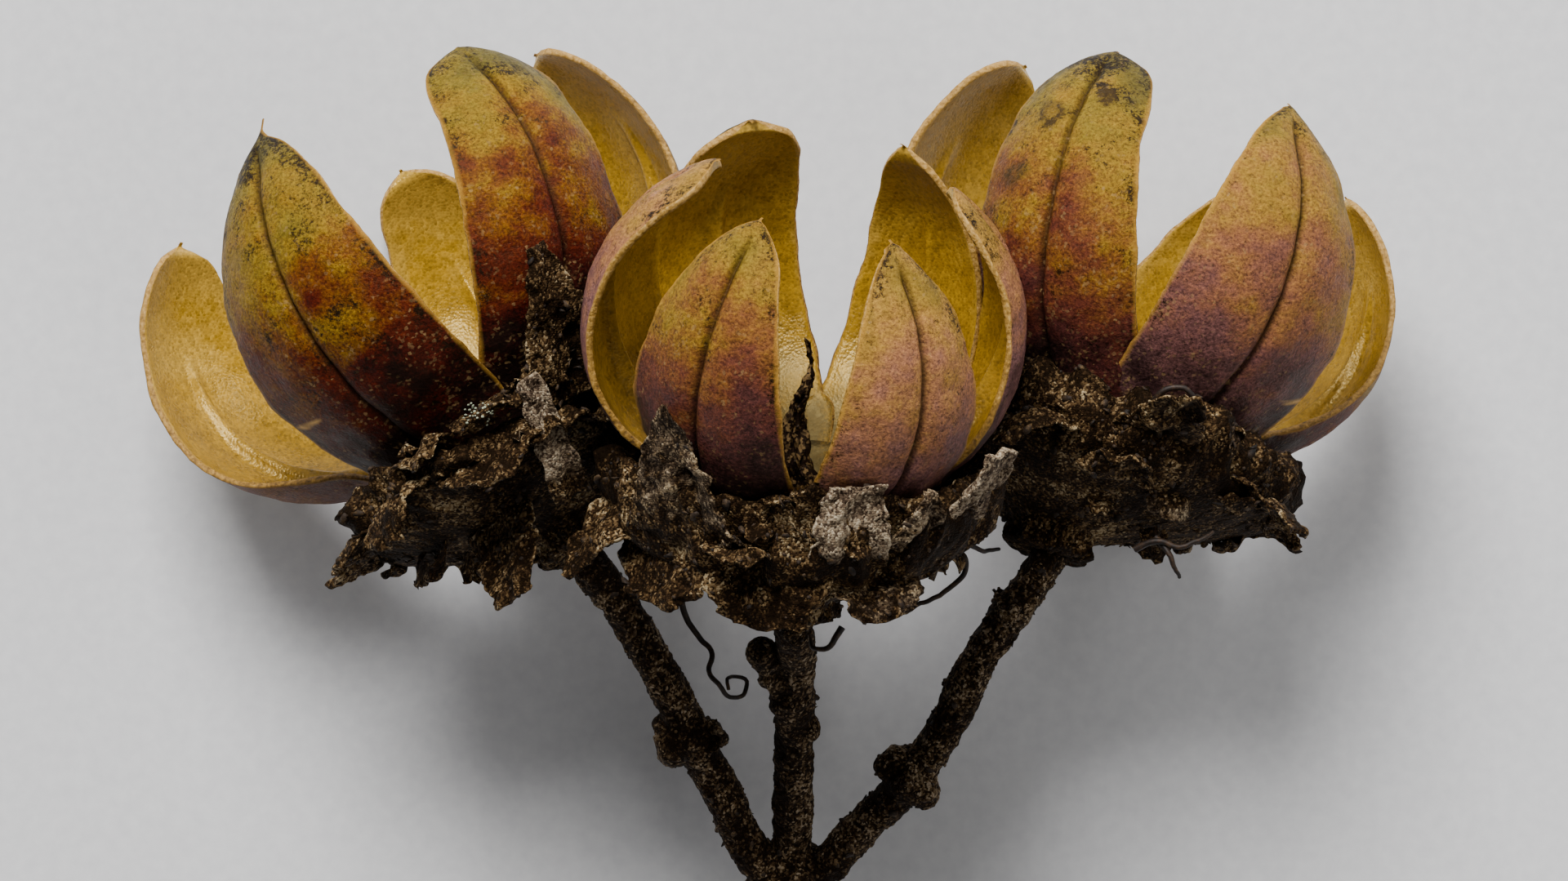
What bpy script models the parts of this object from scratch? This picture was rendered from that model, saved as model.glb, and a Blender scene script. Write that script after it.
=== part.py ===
"""Three dry, split seed capsules of a crepe myrtle on their cut stem, lying on a surface.

The sprig lies along Y with its capsules at +Y, and +Z is up. Lengths are in metres.
"""
import math
from collections import namedtuple

import bmesh
import bpy
from mathutils import Matrix, Vector, noise

MM = 0.001

# Whole sprig. Places are measured from a point between the capsules, and CENTRE becomes the origin.
SPRIG_NAME = "crepe_myrtle_seed_pod"
CENTRE = Vector((-0.51, -4.93, 0.0)) * MM
SHARP_ANGLE = math.radians(40.0)
WELD = 0.005 * MM

# Capsule wall: it leaves the foot at ROOT_ANGLE from the axis and turns inwards to the tip.
ROOT_RADIUS = 1.6 * MM
ROOT_HEIGHT = 0.4 * MM
ROOT_ANGLE = 65.0
WALL_TURN = 145.0
WALL_LENGTH = 16.0 * MM
FULL_RADIUS = 5.25 * MM
HINGE_FROM = 0.10
HINGE_SPAN = 0.25
WALK_STEPS = 12

# One valve
VALVE_HALF_WIDTH = 2.6 * MM
VALVE_THICKNESS = 0.62 * MM
VALVE_TIP_HALF_WIDTH = 0.32 * MM
VALVE_CUP_ANGLE = 38.0
VALVE_FULLNESS = 0.62
GROOVE_DEPTH = 0.22 * MM
SEPTUM_HEIGHT = 0.75 * MM
VALVE_ROWS = 8
OUTSIDE_SHARES = (-1.0, -0.6, -0.16, 0.0, 0.16, 0.6, 1.0)
INSIDE_SHARES = (0.93, 0.5, 0.14, 0.0, -0.14, -0.5, -0.93)

# Foot of the capsule, and the stump of the seed column in it
BOWL_TOP = 0.22
BOWL_SKIN = 0.12 * MM
BOWL_WALL = 0.80 * MM
BOWL_STEPS = 20
BOWL_RINGS = 3
COLUMN_RADIUS = 0.95 * MM
COLUMN_TOP_RADIUS = 0.35 * MM
COLUMN_HEIGHT = 3.4 * MM
COLUMN_SIDES = 7
COLUMN_BEND = Vector((0.25, -0.15, 0.0)) * MM

# Calyx cup, as (radius, height) up the outside, over the rim and down the inside
CALYX_OUTSIDE = ((1.30, -1.9), (1.35, -1.2), (2.7, -0.55), (4.4, 0.2), (5.6, 1.1), (6.15, 2.1))
CALYX_RIM = ((5.85, 2.75), (5.15, 2.6))
CALYX_INSIDE = ((4.55, 1.95), (3.75, 1.15), (2.75, 0.45), (1.6, -0.15))
CALYX_FLOOR = -0.45
CALYX_STEPS = 26
CALYX_WRINKLE = 0.34 * MM
CALYX_DENT = 1.7 * MM
SEPAL_FOOT = (5.35 * MM, 1.75 * MM)
SEPAL_THICKNESS = 0.62 * MM
SEPAL_FOLDS = ((-1.0, 0.0), (-0.4, 0.18), (0.35, -0.05), (1.0, 0.1))
SEPAL_WAVE = 0.22 * MM
SEPAL_ROWS = 4
CLEARANCE = 0.30 * MM

# Stem
PEDICEL_RADIUS = 0.74 * MM
PEDUNCLE_RADIUS = 1.05 * MM
SOCKET_RADIUS = 0.95 * MM
SOCKET_DEPTH = 0.85 * MM
SOCKET_SIDES = 14
SOCKET_GAP = 0.2 * MM
STALK_LEAD = 0.6 * MM
STALK_RESOLUTION = 2
ROUTE_STEPS = 3
BARK_RELIEF = 0.07 * MM
BARK_GRAIN = 1.1 * MM

Valve = namedtuple("Valve", "azimuth opening length width lean twist curl")
Sepal = namedtuple("Sepal", "azimuth length half_width first_angle last_angle")
Pod = namedtuple("Pod", "base lean tilt neck valves sepals")


def valve(azimuth, opening, length=1.0, width=1.0, lean=0.0, twist=0.0, curl=0.0):
    """Azimuth 0 faces up from the surface. Angles are in degrees, length and width are factors."""
    return Valve(azimuth, opening, length, width, lean, twist, curl)


PODS = {
    "left": Pod(
        base=Vector((-7.8, -2.2, 10.2)) * MM,
        lean=-28.0,
        tilt=-12.0,
        neck=0.3,
        valves=(
            valve(-118, 54, length=1.2, width=1.2, twist=14, curl=22),
            valve(-38, 31, length=1.1, width=1.15, lean=5),
            valve(35, 34, length=1.08, width=1.18, lean=2),
            valve(110, 36, length=1.12, width=1.12, twist=-10),
            valve(174, 33, length=1.08, width=1.1),
        ),
        sepals=(
            Sepal(-98, 2.6, 1.8, 95, 150),
            Sepal(-55, 2.8, 2.0, 110, 165),
            Sepal(-8, 2.8, 2.0, 115, 160),
            Sepal(28, 5.4, 1.3, 50, 18),
            Sepal(142, 3.0, 1.6, 92, 130),
            Sepal(-155, 3.0, 1.6, 95, 140),
        ),
    ),
    "middle": Pod(
        base=Vector((0.4, -3.9, 14.2)) * MM,
        lean=3.0,
        tilt=18.0,
        neck=0.0,
        valves=(
            valve(-94, 31, length=1.08, width=0.92, twist=-4, lean=7, curl=22),
            valve(-33, 27, length=1.03, lean=7, width=0.96),
            valve(34, 26, length=0.97, lean=2, width=0.92),
            valve(97, 34, length=0.97, width=0.9, twist=5, curl=12),
            valve(154, 30, length=1.0),
            valve(-160, 30, length=1.04, lean=4),
        ),
        sepals=(
            Sepal(-72, 2.8, 1.7, 95, 140),
            Sepal(-40, 5.2, 1.6, 52, 22),
            Sepal(-5, 2.6, 1.8, 110, 165),
            Sepal(62, 4.2, 1.4, 72, 42),
            Sepal(178, 3.0, 1.8, 90, 130),
        ),
    ),
    "right": Pod(
        base=Vector((10.3, -2.3, 9.1)) * MM,
        lean=16.0,
        tilt=-12.0,
        neck=-1.1,
        valves=(
            valve(-114, 38, length=1.08, width=1.12, twist=14, curl=6),
            valve(-32, 32, length=1.1, width=1.18),
            valve(33, 32, length=1.05, width=1.15, lean=-3),
            valve(108, 40, length=1.02, width=1.12, twist=-8, curl=12),
            valve(176, 33, length=0.94, width=1.1),
        ),
        sepals=(
            Sepal(-30, 3.0, 1.8, 100, 160),
            Sepal(12, 3.8, 1.5, 62, 95),
            Sepal(62, 2.6, 2.0, 105, 150),
            Sepal(105, 2.2, 1.8, 100, 130),
            Sepal(160, 3.0, 1.7, 95, 140),
        ),
    ),
}

# Stalk routes, as (x, y, z) in millimetres up to the neck of each calyx
FORK = (0.2, -15.0, 5.6)
CUT_END = (0.6, -22.6, 0.78)
ROUTES = {
    "left": (
        FORK,
        (-1.0, -14.1, 6.3),
        (-1.9, -12.3, 7.2),
        (-3.0, -10.0, 8.4),
        (-4.4, -7.2, 9.7),
        (-5.8, -5.1, 10.5),
    ),
    "middle": (FORK, (0.3, -13.8, 6.4), (0.3, -11.4, 8.2), (0.35, -9.2, 10.0), (0.4, -7.3, 11.8)),
    "right": (
        FORK,
        (1.3, -14.4, 6.0),
        (2.7, -13.0, 6.6),
        (4.4, -11.2, 7.5),
        (5.6, -9.2, 8.3),
        (6.7, -7.0, 9.0),
    ),
}
# Swellings, as (x, y, z, radius) in millimetres
NODES = (
    (-3.2, -10.1, 8.3, 1.02),
    (-2.3, -9.8, 8.6, 0.55),
    (4.3, -11.3, 7.5, 1.08),
    (3.7, -10.9, 7.8, 0.60),
    (0.2, -14.9, 5.6, 1.35),
    (0.1, -8.5, 10.7, 0.62),
)
TWIG = ((0.2, -8.8, 10.4), (-0.3, -8.0, 11.4), (-0.75, -7.0, 12.3))
TWIG_RADIUS = 0.34 * MM

# Flat spots that the sprig rests on come from cutting what dips below the surface
FLOOR_BLOCK = 60.0 * MM

COLOURS = {
    "capsule": (0.32, 0.16, 0.045, 1.0),
    "calyx": (0.045, 0.028, 0.018, 1.0),
    "stem": (0.07, 0.045, 0.03, 1.0),
}


def clear_scene():
    """Removes every object of the scene."""
    for obj in list(bpy.data.objects):
        bpy.data.objects.remove(obj, do_unlink=True)


def make_material(name, colour, roughness):
    """A plain material with the piece's own colour."""
    material = bpy.data.materials.new(name)
    material.use_nodes = True
    shader = material.node_tree.nodes["Principled BSDF"]
    shader.inputs["Base Color"].default_value = colour
    shader.inputs["Roughness"].default_value = roughness
    shader.inputs["Metallic"].default_value = 0.0
    material.diffuse_color = colour
    return material


def make_object(name, mesh, collection):
    """An object for a mesh, linked to a collection."""
    obj = bpy.data.objects.new(name, mesh)
    collection.objects.link(obj)
    return obj


def ease(value):
    """0 below 0, 1 above 1, and a smooth step between."""
    value = min(max(value, 0.0), 1.0)
    return value * value * (3.0 - 2.0 * value)


def closed_radius(share):
    """Radius of the unopened capsule at a share of the wall's length."""
    bend = WALL_LENGTH / math.radians(WALL_TURN)
    angle = math.radians(ROOT_ANGLE - WALL_TURN * share)
    return ROOT_RADIUS + bend * (math.cos(angle) - math.cos(math.radians(ROOT_ANGLE)))


def closed_height(share):
    """Height of the unopened capsule's wall at a share of its length."""
    bend = WALL_LENGTH / math.radians(WALL_TURN)
    angle = math.radians(ROOT_ANGLE - WALL_TURN * share)
    return ROOT_HEIGHT + bend * (math.sin(math.radians(ROOT_ANGLE)) - math.sin(angle))


def walk(radius, height, length, angle_at, rows):
    """Stations (radius, height, angle) of a line that turns as angle_at(share) says."""
    stations = [(radius, height, math.radians(angle_at(0.0)))]
    step = length / (rows * WALK_STEPS)
    for row in range(rows):
        for part in range(WALK_STEPS):
            angle = math.radians(angle_at((row + (part + 0.5) / WALK_STEPS) / rows))
            radius += math.sin(angle) * step
            height += math.cos(angle) * step
        stations.append((radius, height, math.radians(angle_at((row + 1) / rows))))
    return stations


def valve_stations(spec):
    """The middle line of a valve's outer face, hinged open near its foot."""

    def angle_at(share):
        opened = spec.opening * ease((share - HINGE_FROM) / HINGE_SPAN)
        return ROOT_ANGLE - (WALL_TURN + spec.curl) * share + opened

    return walk(ROOT_RADIUS, ROOT_HEIGHT, WALL_LENGTH * spec.length, angle_at, VALVE_ROWS)


def valve_section(half_width, thickness, groove, ridge):
    """Points (across, out) round a valve's cut: grooved outside, ridged inside."""
    cup = math.radians(VALVE_CUP_ANGLE)
    arc = half_width / math.sin(cup)
    points = []
    for share in OUTSIDE_SHARES:
        dip = groove if share == 0.0 else 0.0
        points.append((arc * math.sin(cup * share), -arc * (1 - math.cos(cup * share)) - dip))
    for share in INSIDE_SHARES:
        rise = ridge if share == 0.0 else 0.0
        depth = arc * (1 - math.cos(cup * share)) + thickness + rise
        points.append((arc * math.sin(cup * share), -depth))
    return points


def loft(rings, name):
    """A closed mesh through rings of equally many points, with flat ends."""
    shape = bmesh.new()
    rows = [[shape.verts.new(point) for point in ring] for ring in rings]
    count = len(rows[0])
    for low, high in zip(rows, rows[1:]):
        for i in range(count):
            j = (i + 1) % count
            shape.faces.new((low[i], low[j], high[j], high[i]))
    shape.faces.new(list(reversed(rows[0])))
    shape.faces.new(rows[-1])
    bmesh.ops.triangulate(shape, faces=shape.faces[:])
    bmesh.ops.recalc_face_normals(shape, faces=shape.faces[:])
    mesh = bpy.data.meshes.new(name)
    shape.to_mesh(mesh)
    shape.free()
    return mesh


def turn_about_axis(radius, across, height, azimuth):
    """The point at an azimuth about the capsule's axis, in the capsule's own frame."""
    cos, sin = math.cos(azimuth), math.sin(azimuth)
    return Vector((radius * cos - across * sin, radius * sin + across * cos, height))


def valve_mesh(spec, grow=0.0):
    """One valve in the capsule's own frame. grow is added to every side, for a clearance."""
    stations = valve_stations(spec)
    hinge = stations[round(0.25 * VALVE_ROWS)][1]
    azimuth = math.radians(spec.azimuth)
    rings = []
    for row, (radius, height, angle) in enumerate(stations):
        share = row / VALVE_ROWS
        fullness = (max(closed_radius(share), 0.0) / FULL_RADIUS) ** VALVE_FULLNESS
        half = max(VALVE_HALF_WIDTH * spec.width * fullness, VALVE_TIP_HALF_WIDTH)
        fade = math.sin(math.pi * min(share + 0.25, 1.0))
        groove = 0.0 if grow else GROOVE_DEPTH * fade
        section = valve_section(half + grow, VALVE_THICKNESS + 2 * grow, groove, SEPTUM_HEIGHT * fade)
        twist = math.radians(spec.twist) * ease((share - 0.2) / 0.4)
        lean = math.radians(spec.lean) * ease((share - 0.15) / 0.25)
        ring = []
        for across, out in section:
            out += grow
            turned = across * math.cos(twist) - out * math.sin(twist)
            out = across * math.sin(twist) + out * math.cos(twist)
            up = height - out * math.sin(angle)
            side = turned * math.cos(lean) + max(up - hinge, 0.0) * math.sin(lean)
            if up > hinge:
                up = hinge + (up - hinge) * math.cos(lean) - turned * math.sin(lean)
            ring.append(turn_about_axis(radius + out * math.cos(angle), side, up, azimuth))
        rings.append(ring)
    return loft(rings, "valve")


def screw_mesh(profile, steps, name):
    """A profile of (radius, height) turned about Z, with its poles welded."""
    mesh = bpy.data.meshes.new(name)
    points = [(radius, 0.0, height) for radius, height in profile]
    edges = [(i, i + 1) for i in range(len(points) - 1)]
    mesh.from_pydata(points, edges, [])
    obj = make_object(name, mesh, bpy.context.scene.collection)
    screw = obj.modifiers.new("turn", "SCREW")
    screw.axis = "Z"
    screw.steps = steps
    screw.render_steps = steps
    screw.use_merge_vertices = True
    screw.merge_threshold = 2 * WELD
    turned = applied_mesh(obj)
    shape = bmesh.new()
    shape.from_mesh(turned)
    bmesh.ops.remove_doubles(shape, verts=shape.verts[:], dist=WELD)
    bmesh.ops.triangulate(shape, faces=shape.faces[:])
    bmesh.ops.recalc_face_normals(shape, faces=shape.faces[:])
    shape.to_mesh(turned)
    shape.free()
    return turned


def applied_mesh(obj):
    """The evaluated mesh of an object, whose own object is then removed."""
    bpy.context.view_layer.update()
    graph = bpy.context.evaluated_depsgraph_get()
    mesh = bpy.data.meshes.new_from_object(obj.evaluated_get(graph))
    bpy.data.objects.remove(obj, do_unlink=True)
    return mesh


def combine(meshes, name, collection, operation="UNION", solver="EXACT"):
    """The first mesh joined with, or cut by, all the others, as one object."""
    base = make_object(name, meshes[0], collection)
    others = bpy.data.collections.new(name + "_operands")
    bpy.context.scene.collection.children.link(others)
    for number, mesh in enumerate(meshes[1:]):
        make_object(f"{name}_operand_{number}", mesh, others)
    boolean = base.modifiers.new("combine", "BOOLEAN")
    boolean.operation = operation
    boolean.operand_type = "COLLECTION"
    boolean.collection = others
    boolean.solver = solver
    mesh = applied_mesh(base)
    for obj in list(others.objects):
        bpy.data.objects.remove(obj, do_unlink=True)
    bpy.data.collections.remove(others)
    return make_object(name, mesh, collection)


def bowl_mesh():
    """The undivided foot of the capsule, inside the valves' lower ends."""
    inner, outer = [], []
    for ring in range(BOWL_RINGS + 1):
        share = BOWL_TOP * ring / BOWL_RINGS
        angle = math.radians(ROOT_ANGLE - WALL_TURN * share)
        radius, height = closed_radius(share), closed_height(share)
        outer.append((radius - BOWL_SKIN * math.cos(angle), height + BOWL_SKIN * math.sin(angle)))
        inner.append((radius - BOWL_WALL * math.cos(angle), height + BOWL_WALL * math.sin(angle)))
    floor_height = inner[0][1]
    foot_height = ROOT_HEIGHT - 0.35 * MM
    profile = [(0.0, floor_height)] + inner + outer[::-1] + [(0.0, foot_height)]
    return screw_mesh(profile, BOWL_STEPS, "bowl")


def column_mesh():
    """The broken stump that the seeds hung on."""
    shape = bmesh.new()
    bmesh.ops.create_cone(
        shape,
        cap_ends=True,
        segments=COLUMN_SIDES,
        radius1=COLUMN_RADIUS,
        radius2=COLUMN_TOP_RADIUS,
        depth=COLUMN_HEIGHT,
    )
    lift = ROOT_HEIGHT + 0.3 * MM + COLUMN_HEIGHT / 2
    bmesh.ops.translate(shape, verts=shape.verts[:], vec=(0.0, 0.0, lift))
    for vert in shape.verts:
        if vert.co.z > lift:
            vert.co += COLUMN_BEND
    bmesh.ops.triangulate(shape, faces=shape.faces[:])
    mesh = bpy.data.meshes.new("column")
    shape.to_mesh(mesh)
    shape.free()
    return mesh


def calyx_cup_mesh(seed, neck_shift):
    """The shrivelled cup: a turned profile, wrinkled and dented by a formula."""
    profile = [(0.0, CALYX_FLOOR * MM)]
    profile += [(r * MM, z * MM) for r, z in reversed(CALYX_INSIDE)]
    profile += [(r * MM, z * MM) for r, z in reversed(CALYX_RIM)]
    profile += [(r * MM, z * MM) for r, z in reversed(CALYX_OUTSIDE)]
    profile.append((0.0, CALYX_OUTSIDE[0][1] * MM))
    mesh = screw_mesh(profile, CALYX_STEPS, "cup")
    neck_radius = CALYX_OUTSIDE[1][0] * MM
    for vert in mesh.vertices:
        radius = math.hypot(vert.co.x, vert.co.y)
        around = math.atan2(vert.co.y, vert.co.x)
        outside = radius > 5.0 * MM or vert.co.z < 0.5 * radius - 1.0 * MM
        if not outside:
            continue
        folds = math.sin(8 * around + seed) + 0.7 * math.sin(13 * around + 2.1 * seed)
        dents = noise.noise(vert.co / CALYX_DENT + Vector((seed, 0.0, 0.0)))
        fade = ease((radius - neck_radius) / (3.0 * MM))
        swell = CALYX_WRINKLE * fade * (0.5 * folds + 1.4 * dents)
        vert.co.x += math.cos(around) * swell
        vert.co.y += math.sin(around) * swell
        vert.co.z += 0.5 * swell
        vert.co.y += neck_shift * MM * ease((1.2 * MM - vert.co.z) / (2.6 * MM))
    return mesh


def sepal_mesh(spec, seed):
    """A dry, curled sepal that grows out of the calyx's rim."""

    def angle_at(share):
        return spec.first_angle + (spec.last_angle - spec.first_angle) * share

    stations = walk(*SEPAL_FOOT, spec.length * MM, angle_at, SEPAL_ROWS)
    azimuth = math.radians(spec.azimuth)
    rings = []
    for row, (radius, height, angle) in enumerate(stations):
        share = row / SEPAL_ROWS
        half = spec.half_width * MM * (1.0 - 0.85 * share**1.4)
        wave = SEPAL_WAVE * math.sin(4.0 * share + seed + spec.azimuth)
        section = [(across * half, bump * MM + wave) for across, bump in SEPAL_FOLDS]
        section += [(across * 0.94, out - SEPAL_THICKNESS) for across, out in reversed(section)]
        ring = []
        for across, out in section:
            out_radius = radius + out * math.cos(angle)
            ring.append(turn_about_axis(out_radius, across, height - out * math.sin(angle), azimuth))
        rings.append(ring)
    return loft(rings, "sepal")


def socket_mesh(neck_shift):
    """The hole in the calyx's neck that the stalk stands in."""
    shape = bmesh.new()
    depth = SOCKET_DEPTH * 2
    bmesh.ops.create_cone(
        shape,
        cap_ends=True,
        segments=SOCKET_SIDES,
        radius1=SOCKET_RADIUS,
        radius2=SOCKET_RADIUS,
        depth=depth,
    )
    mouth = (0.0, neck_shift * MM, CALYX_OUTSIDE[0][1] * MM)
    bmesh.ops.translate(shape, verts=shape.verts[:], vec=mouth)
    bmesh.ops.triangulate(shape, faces=shape.faces[:])
    mesh = bpy.data.meshes.new("socket")
    shape.to_mesh(mesh)
    shape.free()
    return mesh


def pod_matrix(pod):
    """Turns a capsule's own frame (towards the viewer, right, along the axis) into the sprig's."""
    lean, tilt = math.radians(pod.lean), math.radians(pod.tilt)
    flat = math.cos(tilt)
    axis = Vector((math.sin(lean) * flat, math.cos(lean) * flat, math.sin(tilt)))
    up = (Vector((0.0, 0.0, 1.0)) - axis * axis.z).normalized()
    right = axis.cross(up)
    turn = Matrix((up, right, axis)).transposed().to_4x4()
    return Matrix.Translation(pod.base - CENTRE) @ turn


def smooth_route(points):
    """A smooth line through hand-placed points, in metres from the origin."""
    points = [Vector(point) * MM - CENTRE for point in points]
    ends = [points[0] * 2 - points[1]] + points + [points[-1] * 2 - points[-2]]
    route = []
    for a, b, c, d in zip(ends, ends[1:], ends[2:], ends[3:]):
        for step in range(ROUTE_STEPS):
            t = step / ROUTE_STEPS
            square = (2 * a - 5 * b + 4 * c - d) * t * t
            cube = (3 * b - a - 3 * c + d) * t * t * t
            route.append((2 * b + (c - a) * t + square + cube) / 2)
    route.append(points[-1])
    return route


def tube_mesh(route, radius_at, name):
    """A round stalk along a route, from a curve with a bevel, with its caps welded."""
    curve = bpy.data.curves.new(name, "CURVE")
    curve.dimensions = "3D"
    curve.bevel_depth = 1.0
    curve.bevel_resolution = STALK_RESOLUTION
    curve.use_fill_caps = True
    spline = curve.splines.new("POLY")
    spline.points.add(len(route) - 1)
    for index, (point, place) in enumerate(zip(spline.points, route)):
        point.co = (*place, 1.0)
        point.radius = radius_at(index / (len(route) - 1))
    mesh = applied_mesh(make_object(name, curve, bpy.context.scene.collection))
    shape = bmesh.new()
    shape.from_mesh(mesh)
    bmesh.ops.remove_doubles(shape, verts=shape.verts[:], dist=2 * WELD)
    for vert in shape.verts:
        vert.co += noise.noise_vector(vert.co / BARK_GRAIN) * BARK_RELIEF
    bmesh.ops.triangulate(shape, faces=shape.faces[:])
    bmesh.ops.recalc_face_normals(shape, faces=shape.faces[:])
    shape.to_mesh(mesh)
    shape.free()
    return mesh


def knot_mesh(place, radius):
    """A swelling where a bud or a scar sits on the stem."""
    shape = bmesh.new()
    bmesh.ops.create_icosphere(shape, subdivisions=1, radius=radius)
    bmesh.ops.translate(shape, verts=shape.verts[:], vec=place)
    for vert in shape.verts:
        vert.co += noise.noise_vector(vert.co / BARK_GRAIN) * BARK_RELIEF * 2
    mesh = bpy.data.meshes.new("knot")
    shape.to_mesh(mesh)
    shape.free()
    return mesh


def stalk_top(pod):
    """The stalk's last two points, in millimetres: below the calyx's neck and in its socket."""
    mouth = CALYX_OUTSIDE[0][1] * MM
    points = []
    for height in (mouth - STALK_LEAD, mouth + SOCKET_DEPTH - SOCKET_GAP):
        point = pod_matrix(pod) @ Vector((0.0, pod.neck * MM, height)) + CENTRE
        points.append(tuple(point / MM))
    return tuple(points)


def stem_meshes():
    """The peduncle, its three stalks, the twig and the swellings, still apart."""
    meshes = []
    trunk = smooth_route((CUT_END, (0.5, -20.0, 2.2), (0.3, -17.4, 3.9), FORK))
    meshes.append(tube_mesh(trunk, lambda share: PEDUNCLE_RADIUS, "peduncle"))
    for side, pod in PODS.items():
        route = smooth_route(ROUTES[side] + stalk_top(pod))
        meshes.append(tube_mesh(route, lambda share: PEDICEL_RADIUS, "stalk_" + side))
    meshes.append(tube_mesh(smooth_route(TWIG), lambda share: TWIG_RADIUS * (1 + 0.6 * share), "twig"))
    for x, y, z, radius in NODES:
        meshes.append(knot_mesh(Vector((x, y, z)) * MM - CENTRE, radius * MM))
    return meshes


def floor_mesh():
    """A block below the surface that the sprig lies on."""
    shape = bmesh.new()
    bmesh.ops.create_cube(shape, size=FLOOR_BLOCK)
    bmesh.ops.translate(shape, verts=shape.verts[:], vec=(0.0, 0.0, -FLOOR_BLOCK / 2))
    mesh = bpy.data.meshes.new("floor")
    shape.to_mesh(mesh)
    shape.free()
    return mesh


def keep_largest(obj):
    """Drops the loose scraps that a cut leaves, keeping the largest body."""
    shape = bmesh.new()
    shape.from_mesh(obj.data)
    left = set(shape.verts)
    bodies = []
    while left:
        body, todo = set(), [left.pop()]
        while todo:
            vert = todo.pop()
            body.add(vert)
            for edge in vert.link_edges:
                other = edge.other_vert(vert)
                if other in left:
                    left.discard(other)
                    todo.append(other)
        bodies.append(body)
    bodies.sort(key=len, reverse=True)
    scraps = [vert for body in bodies[1:] for vert in body]
    bmesh.ops.delete(shape, geom=scraps, context="VERTS")
    shape.to_mesh(obj.data)
    shape.free()


def finish(obj, material):
    """Smooth shading with sharp edges kept, and the piece's one material."""
    obj.data.materials.clear()
    obj.data.materials.append(material)
    obj.data.shade_smooth()
    obj.data.set_sharp_from_angle(angle=SHARP_ANGLE)


def make_capsule(side, pod, collection):
    """One capsule: its foot, its valves and the stump of its column, grown as one."""
    meshes = [bowl_mesh(), column_mesh()] + [valve_mesh(spec) for spec in pod.valves]
    capsule = combine(meshes, "capsule_" + side, collection)
    capsule.data.transform(pod_matrix(pod))
    return capsule


def make_calyx(side, pod, collection):
    """One calyx: cup and sepals grown as one, then cut back from the capsule in it."""
    seed = 1.0 + len(side)
    meshes = [calyx_cup_mesh(seed, pod.neck)] + [sepal_mesh(spec, seed) for spec in pod.sepals]
    joined = combine(meshes, "calyx_" + side, collection)
    whole = joined.data
    bpy.data.objects.remove(joined, do_unlink=True)
    cutters = [socket_mesh(pod.neck)]
    for other in PODS.values():
        shift = pod_matrix(pod).inverted() @ pod_matrix(other)
        for spec in other.valves:
            cutter = valve_mesh(spec, CLEARANCE)
            cutter.transform(shift)
            cutters.append(cutter)
    calyx = combine([whole] + cutters, "calyx_" + side, collection, "DIFFERENCE", "MANIFOLD")
    keep_largest(calyx)
    calyx.data.transform(pod_matrix(pod))
    return calyx


def cut_at_surface(obj, collection):
    """Cuts off what dips below the surface, which leaves the flat spots it rests on."""
    name, mesh = obj.name, obj.data
    bpy.data.objects.remove(obj, do_unlink=True)
    cut = combine([mesh, floor_mesh()], name, collection, operation="DIFFERENCE")
    keep_largest(cut)
    return cut


def build():
    """Makes the seven pieces in a collection of their own."""
    clear_scene()
    collection = bpy.data.collections.new(SPRIG_NAME)
    bpy.context.scene.collection.children.link(collection)
    materials = {
        "capsule": make_material("dry_capsule_wood", COLOURS["capsule"], 0.55),
        "calyx": make_material("dry_calyx", COLOURS["calyx"], 0.9),
        "stem": make_material("stem_bark", COLOURS["stem"], 0.85),
    }
    for side, pod in PODS.items():
        finish(cut_at_surface(make_capsule(side, pod, collection), collection), materials["capsule"])
        finish(make_calyx(side, pod, collection), materials["calyx"])
    stem = combine(stem_meshes(), "stem", collection)
    finish(cut_at_surface(stem, collection), materials["stem"])


build()
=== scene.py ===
"""The looks of a dry crepe myrtle seed pod: three split capsules on their cut stem.

Lengths are in millimetres and angles in degrees unless a name says otherwise. The sprig lies along
Y with its capsules at +Y, and +Z is up. A mesh is turned to metres when it becomes a piece, in the
same frame as the solids that it stands for.
"""

import logging
import math
from dataclasses import dataclass, field
from enum import Enum
from typing import Any, Iterable, Sequence, Union

import bmesh
import bpy
import numpy as np
from mathutils import Matrix, Vector, noise
from mathutils.bvhtree import BVHTree


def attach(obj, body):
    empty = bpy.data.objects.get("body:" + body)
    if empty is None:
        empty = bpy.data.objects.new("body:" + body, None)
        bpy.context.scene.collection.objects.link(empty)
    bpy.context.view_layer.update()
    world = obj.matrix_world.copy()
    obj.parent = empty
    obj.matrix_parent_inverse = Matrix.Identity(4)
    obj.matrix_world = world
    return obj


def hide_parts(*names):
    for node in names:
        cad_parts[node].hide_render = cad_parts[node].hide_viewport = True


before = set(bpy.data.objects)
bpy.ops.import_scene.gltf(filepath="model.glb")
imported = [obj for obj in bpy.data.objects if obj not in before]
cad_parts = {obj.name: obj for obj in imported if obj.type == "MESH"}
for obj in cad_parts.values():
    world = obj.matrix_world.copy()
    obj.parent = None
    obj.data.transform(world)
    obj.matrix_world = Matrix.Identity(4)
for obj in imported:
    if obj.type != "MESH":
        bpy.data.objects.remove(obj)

LOG = logging.getLogger("seed_pod")
MM = 0.001
BODY = "root"

# The solids' origin, in the frame that places are measured in
CENTRE = np.array((-0.51, -4.93, 0.0))

# Capsule wall, as in the solids: it leaves the foot at ROOT_ANGLE and turns inwards to the tip
ROOT_RADIUS = 1.6
ROOT_HEIGHT = 0.4
ROOT_ANGLE = 65.0
WALL_TURN = 145.0
WALL_LENGTH = 16.0
FULL_RADIUS = 5.25
HINGE_FROM = 0.10
HINGE_SPAN = 0.25
HALF_WIDTH = 2.6
FULLNESS = 0.62
CUP_ANGLE = math.radians(38.0)

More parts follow.
